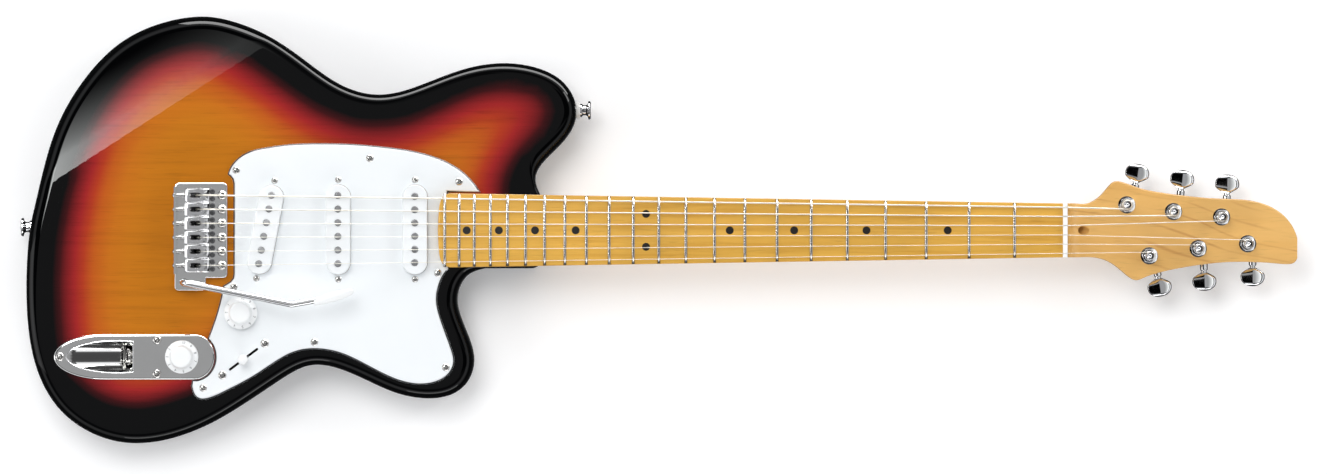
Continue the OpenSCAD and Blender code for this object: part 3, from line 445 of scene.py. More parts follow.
def tube(path, radius, seg=16, closed=False):
    """A round tube along a path, with a radius that may vary, and closed ends."""
    path = np.asarray(path, float)
    n = len(path)
    rad = np.full(n, radius, float) if np.isscalar(radius) else np.asarray(radius, float)
    t = np.gradient(path, axis=0) if not closed else np.roll(path, -1, 0) - np.roll(path, 1, 0)
    t /= np.linalg.norm(t, axis=1)[:, None]
    _, u, _ = frame_along(path[0], path[0] + t[0])
    verts = []
    for i in range(n):
        u = u - t[i] * np.dot(u, t[i])
        u /= np.linalg.norm(u)
        v = np.cross(t[i], u)
        a = np.arange(seg) * 2 * math.pi / seg
        verts.append(path[i] + rad[i] * (np.cos(a)[:, None] * u + np.sin(a)[:, None] * v))
    return (np.vstack(verts), grid_faces(n, seg, True, True)) if closed else loft(verts)


def lathe(profile, origin, axis=(0, 0, 1), seg=48, flute=None):
    """Turns a closed or open (r, h) profile round an axis. A point on the axis closes the end."""
    o = np.asarray(origin, float)
    d, u, v = frame_along(o, o + np.asarray(axis, float))
    verts, rings = [], []
    for k, (r, h) in enumerate(profile):
        if r < 1e-6:
            rings.append([len(verts)])
            verts.append(o + d * h)
            continue
        rings.append(list(range(len(verts), len(verts) + seg)))
        for i in range(seg):
            a = 2 * math.pi * i / seg
            rr = r + (flute(k, i) if flute else 0)
            verts.append(o + d * h + rr * (math.cos(a) * u + math.sin(a) * v))
    faces = []
    for a, b in zip(rings, rings[1:]):
        if len(a) == 1 and len(b) == 1:
            continue
        for i in range(seg):
            j = (i + 1) % seg
            if len(a) == 1:
                faces.append((a[0], b[j], b[i]))
            elif len(b) == 1:
                faces.append((a[i], a[j], b[0]))
            else:
                faces.append((a[i], a[j], b[j], b[i]))
    return np.array(verts), faces


def ring_lathe(profile, origin, axis=(0, 0, 1), seg=48, flute=None):
    """Turns a closed profile that doesn't touch the axis."""
    v, f = lathe(list(profile) + [profile[0]], origin, axis, seg, flute)
    n = len(profile)
    keep = n * seg
    return v[:keep], [tuple(i % keep for i in g) for g in f]


def spline(knots, steps, closed=False):
    """The same cubic as the CAD's outlines: continuous curvature, spaced by the root of the chord."""
    P = np.asarray(knots, float)
    n = len(P)
    nxt = np.roll(P, -1, 0)
    h = np.sqrt(np.linalg.norm(nxt - P, axis=1))
    A, R = np.zeros((n, n)), np.zeros(P.shape)
    for i in range(n):
        if not closed and i in (0, n - 1):
            j = 1 if i == 0 else n - 2
            g = h[0] if i == 0 else h[n - 2]
            A[i, i], A[i, j] = 1, 0.5
            R[i] = 1.5 * ((P[1] - P[0]) if i == 0 else (P[-1] - P[-2])) / g
            continue
        a, b = h[i - 1], h[i]
        A[i, i] = 2 / a + 2 / b
        A[i, (i - 1) % n] += 1 / a
        A[i, (i + 1) % n] += 1 / b
        R[i] = 3 * ((P[(i + 1) % n] - P[i]) / b**2 + (P[i] - P[i - 1]) / a**2)
    M = np.linalg.solve(A, R)
    out = []
    for i in range(n if closed else n - 1):
        j = (i + 1) % n
        for s in range(steps):
            t = s / steps
            out.append((2 * t**3 - 3 * t**2 + 1) * P[i] + (t**3 - 2 * t**2 + t) * h[i] * M[i]
                       + (3 * t**2 - 2 * t**3) * P[j] + (t**3 - t**2) * h[i] * M[j])
    if not closed:
        out.append(P[-1])
    return np.array(out)


def area(loop):
    """The area inside a loop, above zero where it runs counterclockwise."""
    x, y = loop[:, 0], loop[:, 1]
    return 0.5 * np.sum(x * np.roll(y, -1) - np.roll(x, -1) * y)


def inside(points, loop):
    """Which points lie inside a loop."""
    x, y = points[:, 0], points[:, 1]
    res = np.zeros(len(points), bool)
    a, b = loop, np.roll(loop, -1, 0)
    for (x0, y0), (x1, y1) in zip(a, b):
        if y0 == y1:
            continue
        hit = (y0 > y) != (y1 > y)
        res ^= hit & (x < (x1 - x0) * (y - y0) / (y1 - y0) + x0)
    return res


def distance_to(points, loop):
    """Each point's distance from a loop."""
    a, b = loop, np.roll(loop, -1, 0)
    best = np.full(len(points), 1e9)
    for p, q in zip(a, b):
        d = q - p
        L = np.dot(d, d)
        if L < 1e-12:
            continue
        t = np.clip(((points - p) @ d) / L, 0, 1)
        best = np.minimum(best, np.linalg.norm(points - p - t[:, None] * d, axis=1))
    return best


def inset(loop, dist):
    """Moves each point of a loop that runs counterclockwise inwards by dist, along its corner's normal."""
    e1 = loop - np.roll(loop, 1, 0)
    e2 = np.roll(loop, -1, 0) - loop
    n1 = np.stack([-e1[:, 1], e1[:, 0]], 1) / np.maximum(np.linalg.norm(e1, axis=1), 1e-9)[:, None]
    n2 = np.stack([-e2[:, 1], e2[:, 0]], 1) / np.maximum(np.linalg.norm(e2, axis=1), 1e-9)[:, None]
    m = n1 + n2
    m /= np.maximum(1 + np.sum(n1 * n2, 1), 0.4)[:, None]
    return loop + m * np.asarray(dist, float).reshape(-1, 1)


def unfolded(loop, dist):
    """The share of an inset each point can take before the loop folds over itself."""
    share = np.ones(len(loop))
    edge = np.roll(loop, -1, 0) - loop
    for _ in range(60):
        ring = inset(loop, dist * share)
        step = np.roll(ring, -1, 0) - ring
        bad = np.sum(step * edge, 1) < 0.12 * np.sum(edge * edge, 1)
        if not bad.any():
            break
        share[bad | np.roll(bad, 1)] *= 0.8
    return share


def thinned(loop, gap, corner=25):
    """Drops points that crowd a loop, and keeps its corners."""
    e1, e2 = loop - np.roll(loop, 1, 0), np.roll(loop, -1, 0) - loop
    bend = np.degrees(np.abs(np.arctan2(e1[:, 0] * e2[:, 1] - e1[:, 1] * e2[:, 0], np.sum(e1 * e2, 1))))
    kept = []
    for p, b in zip(loop, bend):
        if b > corner or not kept or np.linalg.norm(p - kept[-1]) > gap:
            kept.append(p)
    return np.array(kept)


def respace(loop, step):
    """Evens out a closed loop's spacing."""
    p = np.vstack([loop, loop[:1]])
    s = np.concatenate([[0], np.cumsum(np.linalg.norm(np.diff(p, axis=0), axis=1))])
    n = max(8, int(round(s[-1] / step)))
    t = np.linspace(0, s[-1], n, endpoint=False)
    return np.stack([np.interp(t, s, p[:, 0]), np.interp(t, s, p[:, 1])], 1)


def fill(outer, holes, extra=None):
    """Triangles over a loop less its holes.

    Returns the extra points it used, and the triangles as point numbers into outer, the holes and those
    extra points, in that order.
    """
    loops = [outer] + list(holes)
    pts = np.vstack(loops)
    edges, n = [], 0
    for lp in loops:
        edges += [(n + i, n + (i + 1) % len(lp)) for i in range(len(lp))]
        n += len(lp)
    if extra is not None and len(extra):
        ok = inside(extra, outer)
        for h in holes:
            ok &= ~inside(extra, h)
        ok &= np.min([distance_to(extra, lp) for lp in loops], 0) > 1.2
        extra = extra[ok]
        pts = np.vstack([pts, extra])
    v, _, f, *_ = delaunay_2d_cdt([Vector(p) for p in pts], edges, [], 0, 1e-5)
    if len(v) != len(pts):
        raise RuntimeError(f"fill: {len(pts)} points became {len(v)}")
    v = np.array([tuple(p) for p in v])
    order = [int(np.argmin(np.sum((pts - p) ** 2, 1))) for p in v]
    tri = np.array([[order[i] for i in g] for g in f if len(g) == 3])
    c = pts[tri].mean(1)
    ok = inside(c, outer)
    for h in holes:
        ok &= ~inside(c, h)
    tri = tri[ok]
    a = pts[tri]
    ab, ac = a[:, 1] - a[:, 0], a[:, 2] - a[:, 0]
    cross = ab[:, 0] * ac[:, 1] - ab[:, 1] * ac[:, 0]
    tri = tri[np.abs(cross) > 1e-7]
    cross = cross[np.abs(cross) > 1e-7]
    tri[cross < 0] = tri[cross < 0][:, ::-1]
    return extra if extra is not None else np.zeros((0, 2)), [tuple(t) for t in tri]


def plate(outer, holes, rim, hole_rim):
    """A flat plate with a shaped edge. rim and hole_rim are (inset, z) from the bottom to the top."""
    outer = counterclockwise(outer)
    holes = [clockwise(h) for h in holes]
    verts, faces = [], []

    def stack(loop, prof):
        start = len(verts)
        share = unfolded(loop, max(abs(d) for d, _ in prof))
        for d, z in prof:
            for x, y in inset(loop, d * share):
                verts.append((x, y, z))
        faces.extend(grid_faces(len(prof), len(loop), True, False, start))
        return start, start + (len(prof) - 1) * len(loop)

    rings = [stack(outer, rim)] + [stack(h, hole_rim) for h in holes]
    sizes = [len(outer)] + [len(h) for h in holes]
    arr = np.array(verts)
    for k, up in ((1, True), (0, False)):
        loops = [arr[r[k]:r[k] + n, :2] for r, n in zip(rings, sizes)]
        index = [r[k] + i for r, n in zip(rings, sizes) for i in range(n)]
        _, tris = fill(loops[0], loops[1:])
        for t in tris:
            t = [index[i] for i in t]
            faces.append(tuple(t if up else t[::-1]))
    return arr, faces


def clockwise(loop):
    return loop if area(loop) < 0 else loop[::-1]


def counterclockwise(loop):
    return loop if area(loop) > 0 else loop[::-1]


def round_rim(z0, z1, r_top, r_low=0.2, steps=5):
    low = [(r_low * (1 - math.sin(a)), z0 + r_low * (1 - math.cos(a)))
           for a in np.linspace(0, math.pi / 2, 3)]
    top = [(r_top * (1 - math.cos(a)), z1 - r_top * (1 - math.sin(a)))
           for a in np.linspace(0, math.pi / 2, steps + 1)]
    return low + top


def loops_at(node, z, tol=0.03):
    """The closed outlines of a CAD node's flat faces at a height, in millimetres, largest first."""
    me = nodes[node].data
    co = np.array([v.co for v in me.vertices]) * 1000 - SHIFT
    key = {}
    ids = [key.setdefault((round(p[0], 3), round(p[1], 3), round(p[2], 3)), len(key)) for p in co]
    pos = np.array(list(key.keys()))
    count = {}
    for poly in me.polygons:
        vs = [ids[i] for i in poly.vertices]
        if all(abs(pos[i][2] - z) < tol for i in vs):
            for a, b in zip(vs, vs[1:] + vs[:1]):
                count[(a, b)] = count.get((a, b), 0) + 1
    step = {a: b for (a, b) in count if (b, a) not in count}
    loops = []
    while step:
        first = next(iter(step))
        loop, at = [], first
        while at in step:
            loop.append(at)
            at = step.pop(at)
        loops.append(pos[loop][:, :2])
    loops = [lp for lp in loops if len(lp) > 2 and abs(area(lp)) > 0.2]
    return sorted(loops, key=lambda lp: -abs(area(lp)))


def circle(x, y, r, n=32):
    """A circle as a loop of n points."""
    a = np.arange(n) * 2 * math.pi / n
    return np.stack([x + r * np.cos(a), y + r * np.sin(a)], 1)


def round_rect(x0, x1, y0, y1, r, n=6):
    """A rectangle with round corners, as a loop."""
    out = []
    for cx, cy, a0 in ((x1 - r, y0 + r, -90), (x1 - r, y1 - r, 0), (x0 + r, y1 - r, 90),
                       (x0 + r, y0 + r, 180)):
        for a in np.linspace(a0, a0 + 90, n + 1):
            out.append((cx + r * math.cos(math.radians(a)), cy + r * math.sin(math.radians(a))))
    return np.array(out)


def corner(y, z, r, start, n):
    """n points of a quarter arc round (y, z), clockwise from an angle in degrees."""
    return [(y + r * math.cos(a), z + r * math.sin(a)) for a in np.radians(np.linspace(start, start - 90, n))]


def turn(points, angle, origin):
    """Turns points by an angle in degrees and then moves them to an origin."""
    a = math.radians(angle)
    c, s = math.cos(a), math.sin(a)
    return np.asarray(points) @ np.array([[c, s], [-s, c]]) + np.asarray(origin)


def bake(ob, keep_last=False):
    """Applies the modifiers, all or all but the last."""
    held = ob.modifiers[-1] if keep_last else None
    if held:
        held.show_viewport = held.show_render = False
    bpy.context.view_layer.update()
    dg = bpy.context.evaluated_depsgraph_get()
    me = bpy.data.meshes.new_from_object(ob.evaluated_get(dg))
    old = ob.data
    for m in list(ob.modifiers):
        if m != held:
            ob.modifiers.remove(m)
    ob.data = me
    me.name = old.name
    bpy.data.meshes.remove(old)
    if held:
        held.show_viewport = held.show_render = True


def plain_object(name, points, faces):
    """A mesh object made of points in metres."""
    me = bpy.data.meshes.new(name)
    me.from_pydata(points, [], faces)
    ob = bpy.data.objects.new(name, me)
    scene.collection.objects.link(ob)
    return ob


def solid(name, verts, faces):
    """A mesh object made of points in working millimetres, for cutting or to be cut."""
    return plain_object(name, ((np.asarray(verts, float) + SHIFT) / 1000).tolist(), faces)


def prism(outline, z0, z1):
    """An outline drawn up from z0 to z1."""
    n = len(outline)
    v = [(x, y, z0) for x, y in outline] + [(x, y, z1) for x, y in outline]
    f = [tuple(range(n - 1, -1, -1)), tuple(range(n, 2 * n))]
    f += [(i, (i + 1) % n, n + (i + 1) % n, n + i) for i in range(n)]
    return np.array(v), f


def cut(ob, cutters, bevel, angle=30, segments=3):
    """Cuts solids out of an object, breaks its edges and applies it all."""
    for c in cutters:
        m = ob.modifiers.new("cut", "BOOLEAN")
        m.object, m.operation, m.solver = c, "DIFFERENCE", "EXACT"
    if bevel:
        b = ob.modifiers.new("bevel", "BEVEL")
        b.width, b.segments = bevel / 1000, segments
        b.limit_method, b.angle_limit = "ANGLE", math.radians(angle)
        b.miter_outer = "MITER_ARC"
    bake(ob)
    for c in cutters:
        bpy.data.objects.remove(c)
    co = np.array([v.co for v in ob.data.vertices]) * 1000 - SHIFT
    faces = [tuple(p.vertices) for p in ob.data.polygons]
    bpy.data.objects.remove(ob)
    return co, faces


# ---------------------------------------------------------------- body
TONGUE_END, TONGUE_HALF, TONGUE_CORNER = 253.5, 28.7, 6.0
BODY_KNOTS = [
    (212, -28.7), (198, -34.2), (190.6, -49), (192.5, -64), (200, -83.5), (203, -101),
    (196, -117.5), (179, -126.3), (148, -124), (115, -110), (83, -101.7), (55, -114),
    (11, -142.3), (-24, -157), (-53, -161), (-80, -155.7), (-108, -137.5),
    (-127.5, -104), (-135, -53), (-132.5, 0), (-127, 26), (-116, 69), (-98, 106),
    (-71.5, 137), (-40, 155), (-3, 162), (23, 157.5), (47, 147.5), (74, 129.5),
    (101, 111), (132, 102.7), (164.5, 110.5), (196, 122), (227, 126.5), (254, 122),
    (272.5, 110.5), (280.8, 91), (274, 71.5), (258, 54.5), (250, 42.5), (250.2, 34), (252.8, 28),
]
CREASE_AT, CREASE_DIR = np.array([-115.0, 42.0]), np.array([159.0, 102.0]) / math.hypot(159, 102)
CREASE_OUT = np.array([-CREASE_DIR[1], CREASE_DIR[0]])
CONTOUR = math.tan(math.radians(13))


def body_outline():
    """The body's outline at its widest, counterclockwise and evenly spaced."""
    arc = [(TONGUE_END - TONGUE_CORNER * (1 - math.cos(a)),
            TONGUE_CORNER * (1 - math.sin(a)) - TONGUE_HALF) for a in np.radians(np.arange(0, 91, 10))]
    loop = np.vstack([spline(BODY_KNOTS, 12), [(TONGUE_END, 26.5)], arc])
    return counterclockwise(respace(loop, 2.6))


def face_height(p):
    """The top surface: flat, then falling away past the forearm contour's crease, with a soft turn."""
    d = (p - CREASE_AT) @ CREASE_OUT
    soft = 1.6
    return BODY_T - CONTOUR * soft * np.logaddexp(0, d / soft)


class Shell:
    """Points, faces and each face's paint, grown ring by ring."""

    def __init__(self):
        self.points, self.faces, self.paint, self.count = [], [], [], 0

    def ring(self, loop, z):
        """Adds a loop's points at a height, and returns their numbers."""
        start = self.count
        self.points.append(np.column_stack([loop, np.zeros(len(loop)) + z]))
        self.count += len(loop)
        return range(start, self.count)

    def wall(self, lower, upper, paint):
        """Quads between two rings of the same length."""
        n = len(lower)
        self.faces += [(lower[i], lower[(i + 1) % n], upper[(i + 1) % n], upper[i]) for i in range(n)]
        self.paint += [paint] * n

    def cap(self, rings, triangles, paint, up):
        """Triangles over rings of point numbers, facing up or down."""
        numbers = [i for ring in rings for i in ring]
        self.faces += [tuple(numbers[i] for i in (t if up else t[::-1])) for t in triangles]
        self.paint += [paint] * len(triangles)

    def floor(self, loop, ring, paint, up):
        """Closes a clockwise loop with a flat floor."""
        self.cap([ring[::-1]], fill(loop[::-1], [])[1], paint, up)


def spread(step):
    """Points over the body's box, with every other row moved by half a step."""
    across = np.arange(-140, 290, step)
    return np.array([(x + (step / 2 if row % 2 else 0), y)
                     for row, y in enumerate(np.arange(-165, 170, step)) for x in across])


# the faces' two paints: clear lacquer, and near-black rout paint that doubles as painted shade in the pockets
# and cavities
LACQUER, ROUT_PAINT_AND_SHADE = 0, 1
EDGE_STEPS = 9
COVER_SEAT, FERRULE_SEAT, CAVITY_TOP = 2.0, 4.1, 22.0


def build_body():
    outline = body_outline()
    # the edge's radius: full round everywhere but at the neck's tongue, where it is only broken
    x, y = outline[:, 0], outline[:, 1]
    beside = np.maximum(0, np.maximum(-34 - y, y - 36))
    away = smooth(0, 16, np.hypot(np.maximum(0, 214 - x), beside))
    r_top, r_low = 2.2 + 6.8 * away, 1.6 + 5.4 * away
    low, top = [], []
    for k in range(EDGE_STEPS + 1):
        a = math.pi / 2 * k / EDGE_STEPS
        low.append((inset(outline, r_low * (1 - math.cos(a))), r_low * (1 - math.sin(a))))
        ring = inset(outline, r_top * (1 - math.cos(a)))
        top.append((ring, face_height(ring) - r_top * (1 - math.sin(a))))
    ring = inset(outline, r_top + 0.9)
    top.append((ring, face_height(ring)))
    shell = Shell()
    rings = [shell.ring(*ring) for ring in low[::-1] + top]
    for lower, upper in zip(rings, rings[1:]):
        shell.wall(lower, upper, LACQUER)

    # pockets in the top, as (loop, floor height); the tremolo's slot goes right through
    switch_slot = turn(round_rect(-15, 15, -3.2, 3.2, 2), 36.9, (29.7, -97.4))
    turns = np.radians(np.arange(90, 271, 12))
    round_end = np.column_stack([-88 + 16 * np.cos(turns), JACK_Y + 12.9 * np.sin(turns)])
    cup = np.vstack([round_end, [(-50, JACK_Y - 12.9), (-50, JACK_Y + 12.9)]])
    tone_hole = circle(TONE_X, JACK_Y, 6)
    slot = np.array([(5.9, -35.6), (5.9, 34.9), (-20.9, 34.9), (-20.9, -30.2), (-22, -30.2),
                     (-22, -43.8), (-2.1, -43.8), (-2.1, -35.6)])
    pockets = [(switch_slot, 12), (cup, 13), (tone_hole, 30), (slot, None)]

    # top face, with rows of points along the contour's crease
    along = np.arange(-30, 260, 3.0)[:, None] * CREASE_DIR
    rows = [CREASE_AT + along + off * CREASE_OUT for off in (-5, -3.2, -1.6, 0, 1.6, 3.2, 5)]
    flat = spread(5.0)
    flat = flat[np.abs((flat - CREASE_AT) @ CREASE_OUT) > 7.5]
    holes = [clockwise(loop) for loop, _ in pockets]
    extra, tris = fill(top[-1][0], holes, np.vstack([flat] + rows))
    edges = [shell.ring(loop, face_height(loop)) for loop in holes]
    shell.cap([rings[-1], *edges, shell.ring(extra, face_height(extra))], tris, LACQUER, True)
    for loop, edge, (_, height) in zip(holes, edges, pockets):
        if height is None:
            slot_edge = edge
            continue
        # the pockets' walls and floors are near-black: rout paint and painted shade for their depth
        base = shell.ring(loop, height)
        shell.wall(base, edge, ROUT_PAINT_AND_SHADE)
        shell.floor(loop, base, ROUT_PAINT_AND_SHADE, True)

    # back face with the cover's recess, the springs' cavity and the ferrules' seats
    recess = round_rect(-30, 101, -45, 45, 8)
    ferrules = [circle(fx, fy, 7.55, 40) for fx in (192, 236) for fy in (18.5, -18.5)]
    holes = [clockwise(loop) for loop in [recess] + ferrules]
    extra, tris = fill(low[-1][0], holes, spread(12.0))
    edges = [shell.ring(loop, 0.0) for loop in holes]
    shell.cap([rings[0], *edges, shell.ring(extra, 0.0)], tris, LACQUER, False)
    seat = shell.ring(holes[0], COVER_SEAT)
    shell.wall(edges[0], seat, LACQUER)
    cavity = clockwise(np.array([(-2, -36.2), (-2, -44.4), (-22.6, -44.4), (-22.6, 36), (94, 36),
                                 (94, -36.2)]))
    mouth = shell.ring(cavity, COVER_SEAT)
    roof = shell.ring(cavity, CAVITY_TOP)
    shell.cap([seat[::-1], mouth], fill(holes[0][::-1], [cavity])[1], LACQUER, False)
    # the cavity, the slot's walls and the ferrules' seats take the same near-black paint, painted shade for
    # their depth
    shell.wall(mouth, roof, ROUT_PAINT_AND_SHADE)
    through = clockwise(slot)
    opening = shell.ring(through, CAVITY_TOP)
    shell.cap([roof[::-1], opening], fill(cavity[::-1], [through])[1], ROUT_PAINT_AND_SHADE, False)
    shell.wall(opening, slot_edge, ROUT_PAINT_AND_SHADE)
    for loop, edge in zip(holes[1:], edges[1:]):
        base = shell.ring(loop, FERRULE_SEAT)
        shell.wall(edge, base, ROUT_PAINT_AND_SHADE)
        shell.floor(loop, base, ROUT_PAINT_AND_SHADE, False)
    verts, faces = np.vstack(shell.points), shell.faces

    # the burst follows the outline, eased a little where the waist pinches
    edge = distance_to(verts[:, :2], outline)
    pairs = {tuple(sorted((f[i], f[(i + 1) % len(f)]))) for f in faces for i in range(len(f))}
    pairs = np.array(sorted(pairs))
    for _ in range(10):
        total, hits = np.zeros(len(verts)), np.zeros(len(verts))
        for a, b in ((0, 1), (1, 0)):
            np.add.at(total, pairs[:, a], edge[pairs[:, b]])
            np.add.at(hits, pairs[:, a], 1)
        edge = 0.5 * edge + 0.5 * total / np.maximum(hits, 1)
    vx, vy = verts[:, 0], verts[:, 1]
    edge += 5.0 * smooth(-138, -100, vy) + 7.0 * smooth(140, 235, vx) * smooth(20, 70, vy)
    put("body_shell", verts, faces, "guitar", None, ["body"], 40,
        ["sunburst_lacquer", "rout_paint_and_painted_shade"], shell.paint, np.clip(edge / 100.0, 0, 1))


build_body()

# ---------------------------------------------------------------- neck
HEAD_KNOTS = [
    (8, 20.2), (18, 20.3), (29, 26.3), (37.3, 35.6), (42.3, 37.2), (56, 32.8),
    (70, 29.4), (88, 26.8), (107, 24.8), (127, 23.8), (140, 22.9), (153, 19.8),
    (164, 14), (172, 6), (177, -4), (178.4, -12), (178, -19.5), (175.5, -24.2),
    (170, -25.6), (158, -24.7), (140, -23.9), (124, -24.1), (107, -25.7),
    (92, -28), (75, -31.5), (62, -35.7), (56.5, -37.7), (51, -35.6),
    (41, -27.4), (31, -22), (20, -20.3), (8, -20.3), (1, -16), (1, 16),
]


def head_edges():
    """The headstock's upper and lower edges, each from the nut to the tip."""
    dense = spline(HEAD_KNOTS, 24, True)
    tip = int(np.argmax(dense[:, 0]))
    upper, lower = dense[:tip + 1], dense[tip:24 * 31 + 1][::-1]

    def rising(p):
        keep, best = [], -1e9
        for q in p:
            if q[0] > best + 1e-4:
                keep.append(q)
                best = q[0]
        return np.array(keep)

    return rising(upper) + [SCALE_LEN, 0], rising(lower) + [SCALE_LEN, 0]


def neck_top(x):
    """The wood's top: under the fretboard, in the nut's slot, then swept down to the headstock's face."""
    if x <= 647.95:
        return BOARD_LOW
    if x < 651.4:
        return BOARD_LOW + 2.0
    sweep, before = 9.0, max(0.0, 662 - x)
    if before >= sweep:
        return HEAD_TOP + 6
    return min(HEAD_TOP + 6, HEAD_TOP + sweep - math.sqrt(sweep * sweep - before * before))


def neck_back(x):
    """The back: flat over the heel, then along the neck at its own depth, then the headstock's back."""
    along = BOARD_TOP - (22.5 - 1.5 * (x - 256) / (SCALE_LEN - 276))
    back = HEEL_LOW + (along - HEEL_LOW) * smooth(254.5, 276, x)
    return back + (HEAD_LOW - back) * smooth(628, 672, x)


def neck_section(x, h):
    """The neck cut across at x, with half its width, as (y, z) over the top and then round the back."""
    top_z, back = neck_top(x), neck_back(x)
    r = min(float(np.interp(x, [253, 270, 640, 652, 676], [0.3, 0.3, 0.3, 0.6, 1.3])), h * 0.5)
    flat = [(y, top_z) for y in np.linspace(-h + r, h - r, 8)[1:-1]]
    top = corner(-h + r, top_z - r, r, 180, 5) + flat + corner(h - r, top_z - r, r, 90, 5)
    # the back as a box: a side, a corner, the flat, a corner and a side
    low_r = min(1.5 if x > 400 else 1.0, h * 0.6)
    side = np.linspace(top_z - r, back + low_r, 6)[1:-1]
    box = [(h, z) for z in side] + corner(h - low_r, back + low_r, low_r, 0, 8)
    box += [(y, back) for y in np.linspace(h - low_r, -h + low_r, 15)[1:-1]]
    box += corner(-h + low_r, back + low_r, low_r, -90, 8) + [(-h, z) for z in side[::-1]]
    # and as a D, with as many points, to blend with it
    a, power = np.linspace(0, math.pi, len(box) + 2)[1:-1], 2 / 2.35
    y = h * np.sign(np.cos(a)) * np.abs(np.cos(a)) ** power
    rounded = np.stack([y, top_z - r - (top_z - r - back) * np.sin(a) ** power], 1)
    square = max(1 - smooth(255.5, 278, x), smooth(640, 674, x))
    return np.vstack([top, rounded * (1 - square) + np.array(box) * square])


def build_neck():
    upper, lower = head_edges()
    tip_x = min(upper[-1, 0], lower[-1, 0])
    xs = np.concatenate([
        np.linspace(184.9, 250, 6), np.linspace(253, 285, 17), np.linspace(295, 625, 24),
        np.linspace(632, 647.9, 9), [648.0, 651.35, 651.45], np.linspace(652.0, 664, 25),
        np.linspace(665, 700, 34), np.linspace(701.5, 800, 66),
        tip_x - (tip_x - 800.6) * np.cos(np.linspace(0, math.pi / 2, 40))[0:39],
    ])
    rings = []
    for x in xs:
        high = half_width(min(x, SCALE_LEN))
        low = -high
        if x > SCALE_LEN + 8:
            t = smooth(656, 664, x)
            high += (np.interp(x, upper[:, 0], upper[:, 1]) - high) * t
            low += (np.interp(x, lower[:, 0], lower[:, 1]) - low) * t
        section = neck_section(x, (high - low) / 2)
        middle = (high + low) / 2
        rings.append(np.column_stack([np.full(len(section), x), section[:, 0] + middle, section[:, 1]]))
    verts, faces = loft(rings, flip=True)
    neck = put("neck_wood", verts, faces, "guitar", "maple", ["neck"], 42)
    # the hole that lets a key reach the truss rod's nut
    line = [(644, 0, 42.2), (652, 0, 42.2), (658.5, 0, 42.3), (661.5, 0, 43.4), (664.2, 0, 46.2),
            (674, 0, 57)]
    cutter = solid("cutter", *tube(line, [3.1, 3.1, 3.1, 3.2, 3.25, 3.25], 40))
    mod = neck.modifiers.new("rod_hole", "BOOLEAN")
    mod.object, mod.operation, mod.solver = cutter, "DIFFERENCE", "EXACT"
    neck.modifiers.move(len(neck.modifiers) - 1, 0)
    bake(neck, keep_last=True)
    bpy.data.objects.remove(cutter)


build_neck()


def build_board():
    """The fretboard, crowned across, with its rounded end towards the bridge."""
    knots = [(9, 27.9), (5, 26.6), (2, 22), (0.5, 12), (0, 0)]
    end = spline(knots, 10)[::-1]
    end_x, end_y = end[:, 0] + BOARD_END, end[:, 1]
    xs = np.concatenate([BOARD_END + 9 * (1 - np.cos(np.linspace(0.06, math.pi / 2, 26))),
                         np.linspace(BOARD_END + 12, SCALE_LEN, 60)])
    rings = []
    for x in xs:
        h = np.interp(x, end_x, end_y) if x < BOARD_END + 9 else half_width(x)
        h = max(h, 1.0)
        r = min(0.8, h * 0.3)
        low = BOARD_LOW + 0.02
        lift = float(smooth(BOARD_END, BOARD_END + 1.4, x))
        ys = np.linspace(-h + r, h - r, 21)
        crown = lambda y: BOARD_TOP - 0.04 - fall(y) - 0.9 * (1 - lift)
        edge_z = crown(h - r)
        left, right = corner(-h + r, edge_z - r, r, 180, 5)[:-1], corner(h - r, edge_z - r, r, 90, 5)[1:]
        section = [(-h, low)] + left + [(y, crown(y)) for y in ys] + right + [(h, low)]
        rings.append(np.column_stack([np.full(len(section), x), np.array(section)]))
    verts, faces = loft(rings, flip=True)
    put("fretboard_wood", verts, faces, "guitar", "maple_board", ["fretboard"], 40)


build_board()


# ---------------------------------------------------------------- pickguard
def build_guard():
    loops = loops_at("pickguard", GUARD_TOP)
    rim = [(0.15, BODY_T), (0.0, BODY_T + 0.12), (0.0, BODY_T + 0.3), (1.6, GUARD_TOP - 0.12),
           (1.8, GUARD_TOP)]
    hole = [(0.0, BODY_T), (0.0, GUARD_TOP - 0.12), (0.12, GUARD_TOP)]
    outer = thinned(loops[0], 1.2)
    # the pickups' openings are a little wider than the CAD's, so that their dark gap shows
    openings = [inset(clockwise(h), -0.25 if abs(area(h)) > 500 else 0.0) for h in loops[1:]]
    v, f = plate(outer, openings, rim, hole)
    put("pickguard_sheet", v, f, "guitar", "guard_plastic", ["pickguard"], 30)


build_guard()


# ---------------------------------------------------------------- pickups
PICKUPS = [("neck_pickup_cover", 159.2, 0, 10), ("middle_pickup_cover", 101.2, 0, 10.3),
           ("bridge_pickup_cover", 46.3, -10.5, 10.5)]
COVER_TOP = BOARD_TOP - 0.2


def stadium(w, length, n=20):
    """A slot's outline, w across and round at both ends."""
    r, reach = w / 2, (length - w) / 2
    out = [(r * math.cos(a), reach + r * math.sin(a)) for a in np.linspace(0, math.pi, n)]
    out += [(r * math.cos(a), -reach + r * math.sin(a)) for a in np.linspace(math.pi, 2 * math.pi, n)]
    return np.array(out)


for name, px, ang, pitch in PICKUPS:
    outer = turn(stadium(18.8, 68), ang, (px, 0.6))
    holes = [turn(circle(0, (2.5 - i) * pitch, 2.62, 28), ang, (px, 0.6)) for i in range(6)]
    rim = round_rim(BODY_T - 7.9, COVER_TOP, 1.3, 0.2, 7)
    v, f = plate(outer, holes, rim, [(0.0, BODY_T - 7.9), (0.0, COVER_TOP - 0.2), (0.18, COVER_TOP)])
    put(name + "_shell", v, f, "guitar", "white_plastic", [name], 32)


# ---------------------------------------------------------------- jack plate
CUP_WALL, CUP_TILT = -54.0, math.radians(18)
EYE_HALF_Y, EYE_HALF_Z = 4.75, 4.995


def cup_axis(wall):
    """The height of the slanted cylinder's axis where it meets a wall across it."""
    return JACK_TOP - (12 + wall - CUP_WALL) * math.tan(CUP_TILT)


